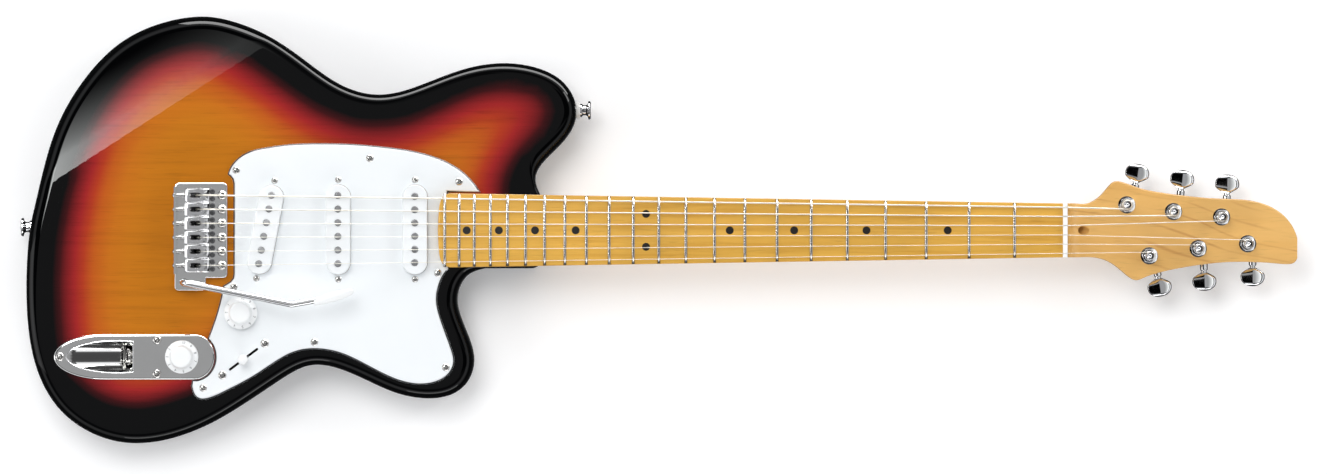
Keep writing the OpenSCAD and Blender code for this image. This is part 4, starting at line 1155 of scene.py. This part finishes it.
def jack_trough(r, wall, z_top, n=61, m=12):
    """Rows of points down a slanted cylinder, from the wall across its deep end to a level top."""
    tilt, mid_z = CUP_TILT, cup_axis(wall)
    lim = math.acos(-(z_top - mid_z) * math.cos(tilt) / r)
    phi = np.linspace(-lim, lim, n)
    c = r * np.cos(phi)
    t0 = -c * math.tan(tilt)
    t1 = np.maximum((z_top - mid_z + c * math.cos(tilt)) / math.sin(tilt), t0)
    rows = []
    for share in np.linspace(0, 1, m):
        t = t0 + (t1 - t0) * share
        rows.append(np.column_stack([wall - t * math.cos(tilt) - c * math.sin(tilt), JACK_Y + r * np.sin(phi),
                                     mid_z + t * math.sin(tilt) - c * math.cos(tilt)]))
    return rows


def build_jack_plate():
    """A pressed boat-shaped plate with its screws' holes, and a cup with the eye for the socket."""
    top = JACK_TOP
    loops = loops_at("jack_plate", top)
    cup_at = max(range(1, len(loops)), key=lambda k: abs(area(loops[k])))
    outer = counterclockwise(respace(loops[0], 1.1))
    small = [clockwise(h) for k, h in enumerate(loops) if k not in (0, cup_at)]
    rim = [(0.0, BODY_T)]
    rim += [(1.9 * (1 - math.cos(a)), top - 1.35 * (1 - math.sin(a))) for a in np.linspace(0, math.pi / 2, 9)]
    verts, faces = [], []

    def add(points, quads):
        start = sum(len(v) for v in verts)
        verts.append(np.asarray(points, float))
        faces.extend(tuple(start + i for i in q) for q in quads)

    ends = [np.column_stack([inset(outer, d), np.full(len(outer), z)]) for d, z in rim]
    add(np.vstack(ends), grid_faces(len(rim), len(outer), True))
    for h in small:
        add(np.vstack([np.column_stack([h, np.full(len(h), z)]) for z in (BODY_T, top)]),
            grid_faces(2, len(h), True))
    cups = {}
    for r, wall, z in ((11.6, CUP_WALL, top), (12.8, CUP_WALL + 1.4, BODY_T)):
        rows = jack_trough(r, wall, z)
        add(np.vstack(rows), grid_faces(len(rows), len(rows[0])))
        a = np.linspace(0, 2 * math.pi, 40, endpoint=False)
        eye = np.column_stack([JACK_Y + EYE_HALF_Y * np.cos(a),
                               cup_axis(wall) - 4.2 + EYE_HALF_Z * np.sin(a)])
        arc = counterclockwise(rows[0][:, 1:])
        _, tris = fill(arc, [eye[::-1]])
        flat = np.vstack([arc, eye[::-1]])
        add(np.column_stack([np.full(len(flat), wall), flat]), tris)
        cups[z] = (rows[-1][:, :2], np.column_stack([np.full(len(eye), wall), eye]))
    add(np.vstack([cups[top][1], cups[BODY_T][1]]), grid_faces(2, 40, True))
    for z, ring in ((top, ends[-1]), (BODY_T, ends[0])):
        holes = [clockwise(cups[z][0])] + small
        _, tris = fill(ring[:, :2], holes)
        flat = np.vstack([ring[:, :2]] + holes)
        add(np.column_stack([flat, np.full(len(flat), z)]), tris)
    v, f = welded(np.vstack(verts), faces)
    put("jack_plate_pressing", v, f, "guitar", "plate_chrome", ["jack_plate"], 30, recalc=True)
    lip_line = np.vstack([cups[top][0], [[CUP_WALL, y] for y in JACK_Y + np.linspace(9.5, -9.5, 12)]])
    grown = inset(respace(counterclockwise(lip_line), 0.9), -0.5)
    v, f = tube(np.column_stack([grown, np.full(len(grown), top - 0.2)]), 0.5, 12, closed=True)
    put("jack_cup_lip", v, f, "guitar", "chrome", (), 60, weighted=False)


build_jack_plate()


# ---------------------------------------------------------------- knobs
KNOB_PROFILE = [
    (0, 10.6), (7.2, 10.6), (7.2, 4.4), (8.6, 3.4), (11.6, 2.75), (12.35, 2.75), (12.5, 2.95), (12.5, 3.6),
    (12.3, 3.95), (11.6, 4.35), (10.4, 5.0), (9.4, 5.75), (8.9, 6.4), (8.75, 6.9), (8.35, 12.4), (8.1, 13.6),
    (7.7, 14.5), (7.0, 14.92), (6.2, 15.0), (5.2, 14.86), (2.5, 14.75), (0, 14.72),
]
SKIRT, GRIP = KNOB_PROFILE[8:13], range(13, 16)


def digit(text):
    """A raised number round the origin, as points in millimetres and faces."""
    curve = bpy.data.curves.new("digit", "FONT")
    curve.body, curve.size, curve.extrude = text, 2.7, 0.07
    curve.align_x = curve.align_y = "CENTER"
    ob = bpy.data.objects.new("digit", curve)
    scene.collection.objects.link(ob)
    bpy.context.view_layer.update()
    me = bpy.data.meshes.new_from_object(ob.evaluated_get(bpy.context.evaluated_depsgraph_get()))
    points = np.array([p.co for p in me.vertices])
    faces = [tuple(p.vertices) for p in me.polygons]
    bpy.data.objects.remove(ob)
    bpy.data.meshes.remove(me)
    bpy.data.curves.remove(curve)
    return points, faces


def knob(name, x, y, panel, body):
    """A knob with a fluted grip on its shaft, and the numbers round its skirt."""

    def flute(k, i):
        return -0.16 * (0.5 + 0.5 * math.cos(2 * math.pi * i / 5)) if k in GRIP else 0.0

    shaft = lathe([(0, -11), (3, -11), (3, 10.55), (0, 10.55)], (x, y, panel), seg=24)
    v, f = join_parts([lathe(KNOB_PROFILE, (x, y, panel), seg=180, flute=flute), shaft])
    put(name + "_cap", v, f, body, "knob_plastic", [name], 30)
    # 10 stands at the mark that faces the strings, and a point's height follows the skirt under it
    parts = []
    for k in range(1, 11):
        points, faces = digit(str(k))
        turned = math.radians(82 - (10 - k) * 32.8)
        across = turned - math.pi / 2
        r = 10.75 + points[:, 1]
        z = panel + np.interp(-r, [-p[0] for p in SKIRT], [p[1] for p in SKIRT]) + points[:, 2]
        px = x + r * math.cos(turned) + points[:, 0] * math.cos(across)
        py = y + r * math.sin(turned) + points[:, 0] * math.sin(across)
        parts.append((np.column_stack([px, py, z]), faces))
    v, f = join_parts(parts)
    put(name + "_numbers", v, f, body, "dial_ink", (), 30, weighted=False)


knob("volume_knob", 27.7, -62.1, GUARD_TOP, "volume")
knob("tone_knob", TONE_X, JACK_Y, JACK_TOP, "tone")

# ---------------------------------------------------------------- switch tip
tip_profile = [(0, 4.4), (2.9, 4.4), (3.35, 4.7), (3.5, 5.6), (3.85, 8.6), (3.98, 10.4), (3.75, 11.7),
               (3.0, 12.55), (1.8, 12.95), (0, 13.05)]
v, f = lathe(tip_profile, (29.7, -97.4, GUARD_TOP), seg=48)
put("switch_tip_cap", v, f, "switch", "knob_plastic", ["switch_tip"], 50)


# ---------------------------------------------------------------- strings
def saddle_y(i):
    return (2.5 - i) * 10.6


def nut_y(i):
    return (2.5 - i) * 6.94


# each post's place past the nut, and its button's tilt in degrees
TUNERS = [(48.6, 19.3, 9), (83.9, 14.2, 6), (120.2, 10.1, 1), (139.9, -10.1, 0), (102.5, -13.8, 2),
          (65.6, -19.2, 9)]
WRAP_Z = HEAD_TOP + 7.0
SADDLE_CREST, NUT_CREST = BOARD_TOP + 4.2, BOARD_TOP + 1.5
POST_R = 2.5
# the height of the intonation screws
SCREW_Z = 54.3


def side_of(i):
    """1 for the three tuners on the bass side of the headstock, -1 for the other three."""
    return 1 if i < 3 else -1


def wire_of(i):
    return "string_wire" if i < 3 else "plain_wire"


def string(i):
    """One string from its saddle over the nut and most of the way round its post."""
    r = STRING_D[i] / 2
    side = side_of(i)
    saddle = np.array([0.05, saddle_y(i), SADDLE_CREST - fall(saddle_y(i)) + r + 0.05])
    nut = np.array([SCALE_LEN, nut_y(i), NUT_CREST - fall(nut_y(i)) + r])
    post = np.array([SCALE_LEN + TUNERS[i][0], TUNERS[i][1]])
    wrap_r = POST_R + r + 0.1
    to_post = post - nut[:2]
    dist = np.linalg.norm(to_post)
    heading = math.atan2(to_post[1], to_post[0]) - side * math.asin(wrap_r / dist)
    reach = math.sqrt(dist**2 - wrap_r**2)
    meet = np.array([nut[0] + reach * math.cos(heading), nut[1] + reach * math.sin(heading), WRAP_Z])
    shares = np.concatenate([np.linspace(0, 30 / SCALE_LEN, 21), np.linspace(0.06, 1, 24)])
    path = [saddle + (nut - saddle) * t for t in shares]
    path += [nut + (meet - nut) * t for t in np.linspace(0, 1, 8)[1:]]
    first = math.atan2(meet[1] - post[1], meet[0] - post[0])
    for a in first + side * np.radians(np.arange(12, 301, 12)):
        path.append(np.array([post[0] + wrap_r * math.cos(a), post[1] + wrap_r * math.sin(a), WRAP_Z]))
    v, f = tube(path, max(r, 0.2), 12 if i < 3 else 10)
    ob = put(f"string_{i + 1}", v, f, "guitar", wire_of(i), ["strings"], 60, weighted=False)
    ob.parent = None
    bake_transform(ob)


for i in range(6):
    string(i)


# ---------------------------------------------------------------- saddles
def saddle(i):
    """A cast block with its key slot, string groove and screw holes, and its intonation screw's end."""
    y, d = saddle_y(i), STRING_D[i]
    crest = SADDLE_CREST - fall(y)
    hi = crest - 0.12
    # from the sloping tail along the flat top to the nose the string breaks over
    side = [(-14.2, 51.65), (-14.2, hi - 1.6), (-12.5, hi - 0.25), (-11.9, hi), (1.5, hi), (2.4, hi - 0.3),
            (4.15, hi - 1.25), (4.15, 51.65)]
    rows = [[(x, y + q, z if z < hi - 2 else z - drop) for x, z in side]
            for q, drop in ((-4.98, 0.48), (-4.25, 0), (4.25, 0), (4.98, 0.48))]
    block = solid("block", *loft(rows, flip=True))
    half = [(-10.9, 0), (-10.2, 1.15), (-9.2, 1.75), (-8.2, 1.9), (-2.6, 1.9), (-1.2, 1.5), (-0.3, 0.75),
            (-0.25, 0)]
    slot = half + [(a, -b) for a, b in half[-2:0:-1]]
    key = solid("key", *prism([(a, y + b) for a, b in slot[::-1]], 48, 64))
    line = [(-1.5, y, crest + d / 2), (6, y, crest + d / 2 + 0.15)]
    groove = solid("groove", *tube(line, d / 2 + 0.16, 16))
    holes = [solid("hole", *prism(circle(1.4, y + q, 1.46, 20), 48, 64)) for q in (-3.2, 3.2)]
    head = [(0, -1.6), (0.95, -1.6), (0.95, 0.9), (0.8, 1.25), (0.45, 1.45), (0, 1.5)]
    return [cut(block, [key, groove] + holes, 0.2, 38), lathe(head, (-11.0, y, SCREW_Z), (1, 0, 0), 20)]


v, f = join_parts([part for i in range(6) for part in saddle(i)])
put("saddle_blocks", v, f, "bridge", "chrome", ["saddles"], 40)


# ---------------------------------------------------------------- bridge plate
def build_bridge_plate():
    """A pressed plate with a slot under each saddle, and its upturned flange."""
    loops = loops_at("bridge_plate", 47.0)
    outer = respace(loops[0], 1.2)
    holes = []
    for h in loops[1:]:
        c = h.mean(0)
        if abs(c[0] + 6.2) < 1.2:
            h = np.array([(x - 6.9, y + c[1]) for y, x in stadium(4.2, 8.4, 12)])
        holes.append(h)
    v, f = plate(outer, holes, round_rim(47.0, 49.0, 0.95, 0.2, 6), [(0.0, 47.0), (0.0, 48.75), (0.22, 49.0)])
    flange_line = [(-22.3, -33), (-20.5, -33), (-20.5, 33), (-22.3, 33)]
    flange = solid("flange", *prism(flange_line, 48.6, 57.6))
    drills = [solid("drill", *tube([(-26, saddle_y(i), SCREW_Z), (-18, saddle_y(i), SCREW_Z)], 1.4, 20))
              for i in range(6)]
    parts = [(v, f), cut(flange, drills, 0.55)]
    v, f = join_parts(parts)
    put("bridge_plate_pressing", v, f, "bridge", "plate_chrome", ["bridge_plate"], 32)
    # the dark stops in front of each saddle: dark steel studs that stand as painted shade and painted
    # reflection on the plate
    stop = [(0, 49.0), (2.0, 49.0), (2.0, 50.3), (1.75, 50.6), (1.0, 50.65), (0.8, 50.1), (0, 50.0)]
    v, f = join_parts([lathe(stop, (6.4, saddle_y(i) + q, 0), seg=24)
                       for i in range(6) for q in (-2.65, 2.65)])
    put("saddle_stops_painted_shade", v, f, "bridge", "block_steel")


build_bridge_plate()


# ---------------------------------------------------------------- tremolo arm
def rounded_path(points, radii, n=14):
    """Straight runs with a round bend at each inner point."""
    out = [points[0]]
    for p, c, q, r in zip(points, points[1:], points[2:], radii):
        a, b = (p - c) / np.linalg.norm(p - c), (q - c) / np.linalg.norm(q - c)
        half = math.acos(np.clip(np.dot(a, b), -1, 1)) / 2
        cut = r / math.tan(half)
        s, e = c + a * cut, c + b * cut
        for t in np.linspace(0, 1, n):
            out.append((1 - t) ** 2 * s + 2 * t * (1 - t) * (c + (s + e - 2 * c) * 0.12) + t * t * e)
    out.append(points[-1])
    return np.array(out)


def build_arm():
    foot = np.array([-15.2, -39.3, 35.1])
    top = np.array([-15.2, -39.3, BODY_T + 20.5])
    bend = np.array([66.9, -55.8, BODY_T + 24])
    end = np.array([84, -54.2, BODY_T + 24.6])
    tip = np.array([114, -45.3, BODY_T + 25.0])
    v, f = tube(rounded_path([foot, top, bend, end + (tip - end) * 0.4], [5.0, 7.0]), 2.5, 28)
    put("tremolo_arm_rod", v, f, "arm", "arm_chrome", ["tremolo_arm"], 50)
    length = float(np.linalg.norm(tip - end))
    knots = [(2.75, 0.35), (3.3, 5), (3.9, 12), (4.0, 17), (3.75, 22), (3.0, 27), (2.0, 30),
             (0.9, length - 0.35), (0, length)]
    v, f = lathe([(0, 0.0), (2.4, 0.0)] + [tuple(p) for p in spline(knots, 5)], end, tip - end, 40)
    put("arm_tip_cap", v, f, "arm", "knob_plastic", ["arm_tip"], 50)


build_arm()


# ---------------------------------------------------------------- springs
def coil(p, q, radius, wire, turns):
    """A coil from p to q, where radius is the coil's and wire is the wire's own radius."""
    d, u, w = frame_along(p, q)
    length = np.linalg.norm(np.asarray(q, float) - np.asarray(p, float))
    a = np.arange(int(turns * 20) + 1) * 2 * math.pi / 20
    t = np.linspace(wire, length - wire, len(a))
    path = np.asarray(p, float) + t[:, None] * d + radius * (np.cos(a)[:, None] * u + np.sin(a)[:, None] * w)
    return tube(path, wire, 8)


v, f = join_parts([coil((-20.4, saddle_y(i), SCREW_Z), (-14.35, saddle_y(i), SCREW_Z), 1.75, 0.24, 5.5)
                   for i in range(6)])
put("saddle_spring_coils", v, f, "bridge", "spring_steel", ["intonation_springs"], 60,
    weighted=False)

# the tremolo's springs, each hooked into the block at one end and the claw at the other
SPRING_Z = 15.0
for k, y in enumerate((-13, 0, 13)):
    turns = coil((7.5, y, SPRING_Z), (72.5, y, SPRING_Z), 3.6, 0.55, 52)
    hooks = [tube([(x, y, SPRING_Z + up) for x, up in line], 0.6, 10)
             for line in ([(-2.4, 0), (4, 0), (6.4, 1.6), (7.9, 3.4)],
                          [(72.0, 3.4), (73.6, 1.8), (76, 0), (86.6, 0)])]
    v, f = join_parts([turns] + hooks)
    ob = put(f"tremolo_spring_{k + 1}", v, f, "guitar", "spring_steel", ["tremolo_springs"],
             60, weighted=False)
    ob.parent = None
    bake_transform(ob)


# ---------------------------------------------------------------- tuners' buttons
SHAFT_Z, SHAFT_ASIDE = 25.0, 5.3


def button(i):
    """A tuner's button with its shaft and the worm's thread."""
    px, py, tilt = TUNERS[i]
    side, t = side_of(i), math.radians(tilt)
    ax = np.array([math.sin(t), side * math.cos(t), 0])
    across = np.array([math.cos(t), -side * math.sin(t), 0])
    up = np.array([0, 0, 1.0])
    o = np.array([SCALE_LEN + px, py, SHAFT_Z]) + across * SHAFT_ASIDE
    half_widths = spline([(18.4, 2.75), (19.0, 3.6), (20.3, 5.9), (21.8, 8.0), (23.2, 8.95), (25.4, 9.15),
                          (27.6, 8.7), (29.6, 7.3), (31.2, 4.9), (31.9, 2.9), (32.2, 0.3)], 4)
    thick = np.interp(half_widths[:, 0], [18.4, 19.0, 20.0, 22, 29.6, 31.0, 31.9, 32.2],
                      [2.5, 3.0, 3.3, 3.38, 3.28, 2.7, 1.5, 0.4])
    # a flat left half, a gently crowned right half and a soft edge all round
    u = [-1, -0.99, -0.97, -0.945, -0.92, -0.45, -0.02, 0.02, 0.2, 0.4, 0.6, 0.76, 0.88, 0.95, 0.985, 1]
    crown = [0.0, 0.2, 0.36, 0.44, 0.48, 0.74, 0.975, 0.985, 1.0, 0.985, 0.93, 0.84, 0.7, 0.52, 0.3, 0.0]
    u, crown = np.array(u), np.array(crown)
    rings = []
    for (s, w), h in zip(half_widths, thick):
        middle = o + ax * s
        top_side = [middle + across * (w * share) + up * (h * rise) for share, rise in zip(u, crown)]
        low_side = [middle + across * (w * share) - up * (h * rise)
                    for share, rise in zip(u[-2:0:-1], crown[-2:0:-1])]
        rings.append(np.array(top_side + low_side))
    blade = loft(rings)
    shaft = lathe([(0, -6), (1.5, -6), (1.5, 7), (2, 7.2), (2, 10), (2.6, 10.05), (2.95, 10.35), (2.95, 15.9),
                   (2.7, 16.5), (2.1, 16.8), (2.0, 16.9), (2.0, 18.9), (0, 18.9)], o, ax, 40)
    a2 = np.linspace(0, 2 * math.pi * 6, 150)
    _, u, w = frame_along(o, o + ax)
    run = o + np.outer(np.linspace(-4.5, 4.5, 150), ax)
    thread = tube(run + 1.45 * (np.cos(a2)[:, None] * u + np.sin(a2)[:, None] * w), 0.22, 6)
    v, f = join_parts([blade, shaft, thread])
    put(f"tuner_button_{i + 1}_key", v, f, f"button_{i + 1}", "chrome", [f"tuner_button_{i + 1}"],
        40, recalc=True)


for i in range(6):
    button(i)


# ---------------------------------------------------------------- posts
def post_piece(i):
    """A tuner's post and the string's turns under its top one."""
    px, py, _ = TUNERS[i]
    o = (SCALE_LEN + px, py, 0.0)
    shank = [(0, 21.3), (2.4, 21.3), (2.5, 21.5), (2.5, 23.3), (3.45, 23.3), (3.45, 26.7), (2.5, 26.7),
             (2.5, 30.0), (3.0, 30.2), (3.0, 49.3), (2.75, 49.55), (2.5, 50.0)]
    # above the string's turns
    head = [(2.5, 1.3), (2.62, 1.55), (2.95, 1.8), (3.0, 2.1), (3.0, 5.5), (2.93, 5.85), (2.8, 6.0),
            (2.62, 6.0),
            (2.45, 5.9), (1.6, 5.58), (0.9, 5.3), (0.72, 5.1), (0.7, 4.2), (0, 4.1)]
    prof = shank + [(radius, WRAP_Z + height) for radius, height in head]
    v, f = lathe(prof, o, seg=48)
    put(f"tuner_post_{i + 1}_pin", v, f, f"post_{i + 1}", "chrome", [f"tuner_post_{i + 1}"], 38)
    r = STRING_D[i] / 2
    turns = 2.0 if i < 3 else 3.0
    a = np.linspace(0, 2 * math.pi * turns, int(36 * turns))
    side, wrap_r = side_of(i), POST_R + r - 0.03
    z = WRAP_Z - 2 * r - 0.07 - a / math.pi * r
    path = np.column_stack([o[0] + wrap_r * np.cos(a * side), o[1] + wrap_r * np.sin(a * side), z])
    v, f = tube(path, r, 10)
    put(f"string_windings_{i + 1}", v, f, f"post_{i + 1}", wire_of(i), (), 60, weighted=False)


def bushing(i):
    """A washer with a coned face, and a hex nut with a coned top, on the sleeve the post turns in."""
    px, py, _ = TUNERS[i]
    at = (SCALE_LEN + px, py, 0.0)
    washer = ring_lathe([(5.0, 46.0), (6.6, 46.0), (6.6, 46.3), (6.5, 46.48), (5.45, 46.88), (5.0, 46.89)],
                        at, seg=64)
    seg = 96
    turned = math.radians(15 + 20 * i)

    def hexed(k, n):
        a = (2 * math.pi * n / seg - turned) % (math.pi / 3) - math.pi / 6
        return min(5.6, 4.85 / math.cos(a) + 0.02) - 5.9 if k in (3, 4) else 0.0

    prof = [(3.08, 31.6), (4.93, 31.6), (4.93, 46.96), (5.9, 46.96), (5.9, 48.5), (4.6, 49.28), (4.4, 49.32),
            (3.4, 48.95), (3.08, 48.7)]
    v, f = ring_lathe(prof, at, seg=seg, flute=hexed)
    # the nut's coned top meets its flats higher than its corners
    upper = slice(4 * seg, 5 * seg)
    v[upper, 2] += 0.6 * (5.9 - np.hypot(v[upper, 0] - at[0], v[upper, 1] - at[1]))
    return washer, (v, f)


for i in range(6):
    post_piece(i)
v, f = join_parts([p for i in range(6) for p in bushing(i)])
put("tuner_bushing_set", v, f, "guitar", "chrome", ["tuner_bushings"], 28, recalc=True)

# ---------------------------------------------------------------- CAD pieces that keep their own shape
# the width of each one's rounded edges, where it isn't 0.1 mm
BEVELS = {
    "tuner_housings": 0.6, "tremolo_cover": 0.4, "nut": 0.3, "strap_buttons": 0.25, "strap_washer": 0.35,
    "tremolo_block": 0.5, "spring_claw": 0.4, "volume_pot": 0.3, "tone_pot": 0.3, "selector_switch": 0.15,
    "neck_ferrules": 0.3, "jack_socket": 0.25, "pole_pieces": 0.25, "pickup_coils": 0.3, "switch_lever": 0.12,
    "frets": 0.0, "fret_markers": 0.0, "truss_rod": 0.2, "saddle_height_screws": 0.12,
}
for name, ob in nodes.items():
    ob.data.materials.clear()
    ob.data.materials.append(MATS[slot_of[name]])
    if ob.hide_render:
        continue
    me = ob.data
    if "custom_normal" in me.attributes:
        me.attributes.remove(me.attributes["custom_normal"])
    me.shade_smooth()
    weld = ob.modifiers.new("weld", "WELD")
    weld.merge_threshold = 2e-6
    flat = ob.modifiers.new("flat", "DECIMATE")
    flat.decimate_type, flat.angle_limit = "DISSOLVE", math.radians(0.6)
    width = BEVELS.get(name, 0.1)
    if width:
        b = ob.modifiers.new("bevel", "BEVEL")
        b.width, b.segments = width / 1000, 3
        b.limit_method, b.angle_limit = "ANGLE", math.radians(32)
        b.use_clamp_overlap, b.harden_normals, b.miter_outer = True, False, "MITER_ARC"
    w = ob.modifiers.new("normals", "WEIGHTED_NORMAL")
    w.keep_sharp = False
    w.weight = 80

# ---------------------------------------------------------------- floor, lights and camera
def quad(x, y):
    """The corners of a level rectangle round the origin, in metres, given half its sides."""
    return [(-x, -y, 0), (x, -y, 0), (x, y, 0), (-x, y, 0)]


floor = plain_object("floor", quad(40, 40), [(0, 1, 2, 3)])
s = Shade("studio_floor")
s.base(Base_Color=(0.94, 0.94, 0.945), Roughness=0.9, Specular_IOR_Level=0.0, Emission_Color=(1, 1, 1),
       Emission_Strength=0.12)
floor.data.materials.append(s.material)
floor.location.z = -0.0004
floor.visible_glossy = False


def softbox(name, at, to, size, power, colour=(1, 1, 1)):
    li = bpy.data.lights.new(name, "AREA")
    li.shape, li.size, li.size_y, li.energy, li.color = "RECTANGLE", size[0], size[1], power, colour
    ob = bpy.data.objects.new(name, li)
    scene.collection.objects.link(ob)
    ob.location = at
    ob.rotation_mode = "QUATERNION"
    ob.rotation_quaternion = (Vector(to) - Vector(at)).to_track_quat("-Z", "Y")
    ob.visible_camera = False
    return ob


mid = row_point(330, 0, 40)
key = softbox("key", mid + Vector((-0.95, 1.4, 3.2)), mid, (2.0, 2.0), 60)
key.visible_glossy = False
for k, (dx, dy) in enumerate([(-1.9, 0), (1.9, 0), (0, -1.6), (0, 1.6)]):
    fill_in = softbox(f"fill_{k}", mid + Vector((dx, dy, 0.95)), mid, (0.9, 0.9), 3.0)
    fill_in.visible_glossy = False
softbox("side_left", mid + Vector((-2.6, -0.3, 1.0)), mid, (1.0, 2.4), 9)
softbox("side_front", mid + Vector((0.4, -2.6, 1.0)), mid, (2.6, 0.5), 15)
softbox("side_right", mid + Vector((2.4, 1.4, 1.5)), mid, (0.8, 0.8), 16)


def reflection_card(name, at, size, build):
    """A panel that only shows in reflections: it lights nothing and casts no shadow."""
    ob = plain_object(name, quad(size[0] / 2, size[1] / 2), [(0, 3, 2, 1)])
    s = Shade(name)
    build(s)
    ob.data.materials.append(s.material)
    ob.location = at
    ob.visible_camera = ob.visible_diffuse = ob.visible_shadow = ob.visible_transmission = False
    ob.visible_volume_scatter = False
    return ob


def glow(s, strength, colour=(1, 1, 1)):
    """Black, with nothing but its own light."""
    s.base(Base_Color=(0, 0, 0), Roughness=1.0, Specular_IOR_Level=0.0, Emission_Color=colour)
    s.base(Emission_Strength=strength)


def contour_glow(s):
    """Bright at the crease's tail end, fading along it and away from it."""
    sep = s.place()
    along = s.math("MULTIPLY", sep.outputs["X"], -1 / 0.075)
    fade = s.math("POWER", 2.718, s.math("MINIMUM", along, 0.35))
    away = s.math("SUBTRACT", 1.0, s.math("DIVIDE", s.math("MAXIMUM", sep.outputs["Y"], -0.03), 0.052), True)
    away = s.math("POWER", away, 1.6)
    tail = s.math("DIVIDE", s.math("ADD", sep.outputs["X"], 0.085), 0.05, True)
    share = s.math("MULTIPLY", s.math("MULTIPLY", fade, tail), away)
    glow(s, s.math("MULTIPLY", share, 22.0), (0.97, 1.0, 0.99))


card = reflection_card("contour_card", row_point(-115, 42, 45) + Vector((-0.178, 0.218, 0.5)), (0.9, 0.5),
                       contour_glow)
card.rotation_euler.z = math.atan2(102, 159)


def soft_panel(s):
    """A reflector that brightens away from the headstock."""
    sep = s.place()
    rise = s.math("DIVIDE", s.math("ADD", sep.outputs["X"], 0.125), 0.16, True)
    glow(s, s.math("ADD", s.math("MULTIPLY", rise, 0.85), 0.34), (0.98, 1.0, 0.99))


# behind the upper edge: the thin line of light along the waist and the horn
rim = reflection_card("rim_panel", Vector((1.1, 2.0, 0.52)), (4.2, 0.8), lambda s: glow(s, 14.0))
rim.rotation_euler.x = math.pi / 2
# over the tuners: dark towards the body, light towards the tip
for k in (-1, 1):
    reflection_card("tuner_flag", Vector((0.165, 0.115 * k, 0.43)), (0.39, 0.17), lambda s: glow(s, 0.0))
reflection_card("tuner_panel", Vector((0.585, 0, 0.43)), (0.25, 0.5), soft_panel)
# over the arm
reflection_card("arm_panel", row_point(58, -57, 136), (0.072, 0.05), lambda s: glow(s, 0.5))

# the sky: dark below the horizon, bright part of the way up, dim overhead
world = bpy.data.worlds.new("studio")
scene.world = world
world.use_nodes = True
wt = world.node_tree
bg = wt.nodes["Background"]
bg.inputs["Color"].default_value = (0.97, 0.98, 1.0, 1)
tc = wt.nodes.new("ShaderNodeTexCoord")
sep = wt.nodes.new("ShaderNodeSeparateXYZ")
wt.links.new(tc.outputs["Generated"], sep.inputs[0])
half = wt.nodes.new("ShaderNodeMath")
half.operation = "MULTIPLY_ADD"
half.inputs[1].default_value = half.inputs[2].default_value = 0.5
wt.links.new(sep.outputs["Z"], half.inputs[0])
sky = wt.nodes.new("ShaderNodeValToRGB")
SKY = [(0.0, 0.06), (0.49, 0.06), (0.56, 0.14), (0.62, 0.8), (0.74, 1.3), (0.80, 0.9), (0.835, 0.09),
       (0.93, 0.07), (0.957, 0.36), (1.0, 0.40)]
while len(sky.color_ramp.elements) < len(SKY):
    sky.color_ramp.elements.new(0.5)
for e, (at, v) in zip(sky.color_ramp.elements, SKY):
    e.position, e.color = at, (v, v, v, 1)
wt.links.new(half.outputs[0], sky.inputs["Fac"])
wt.links.new(sky.outputs["Color"], bg.inputs["Strength"])

cam_data = bpy.data.cameras.new("camera")
cam = bpy.data.objects.new("camera", cam_data)
scene.collection.objects.link(cam)
# VIEW_WIDTH is what the frame takes in at FACE_HEIGHT, in metres
CAMERA_HEIGHT, FACE_HEIGHT, VIEW_WIDTH, SENSOR = 6.0, 0.048, 1.0017523, 36
cam_data.lens = SENSOR * (CAMERA_HEIGHT - FACE_HEIGHT) / VIEW_WIDTH
cam_data.clip_start, cam_data.clip_end = 0.1, 100
cam.location = row_point(346.8, -5.4, CAMERA_HEIGHT * 1000)
scene.camera = cam
scene.view_settings.view_transform = "Standard"
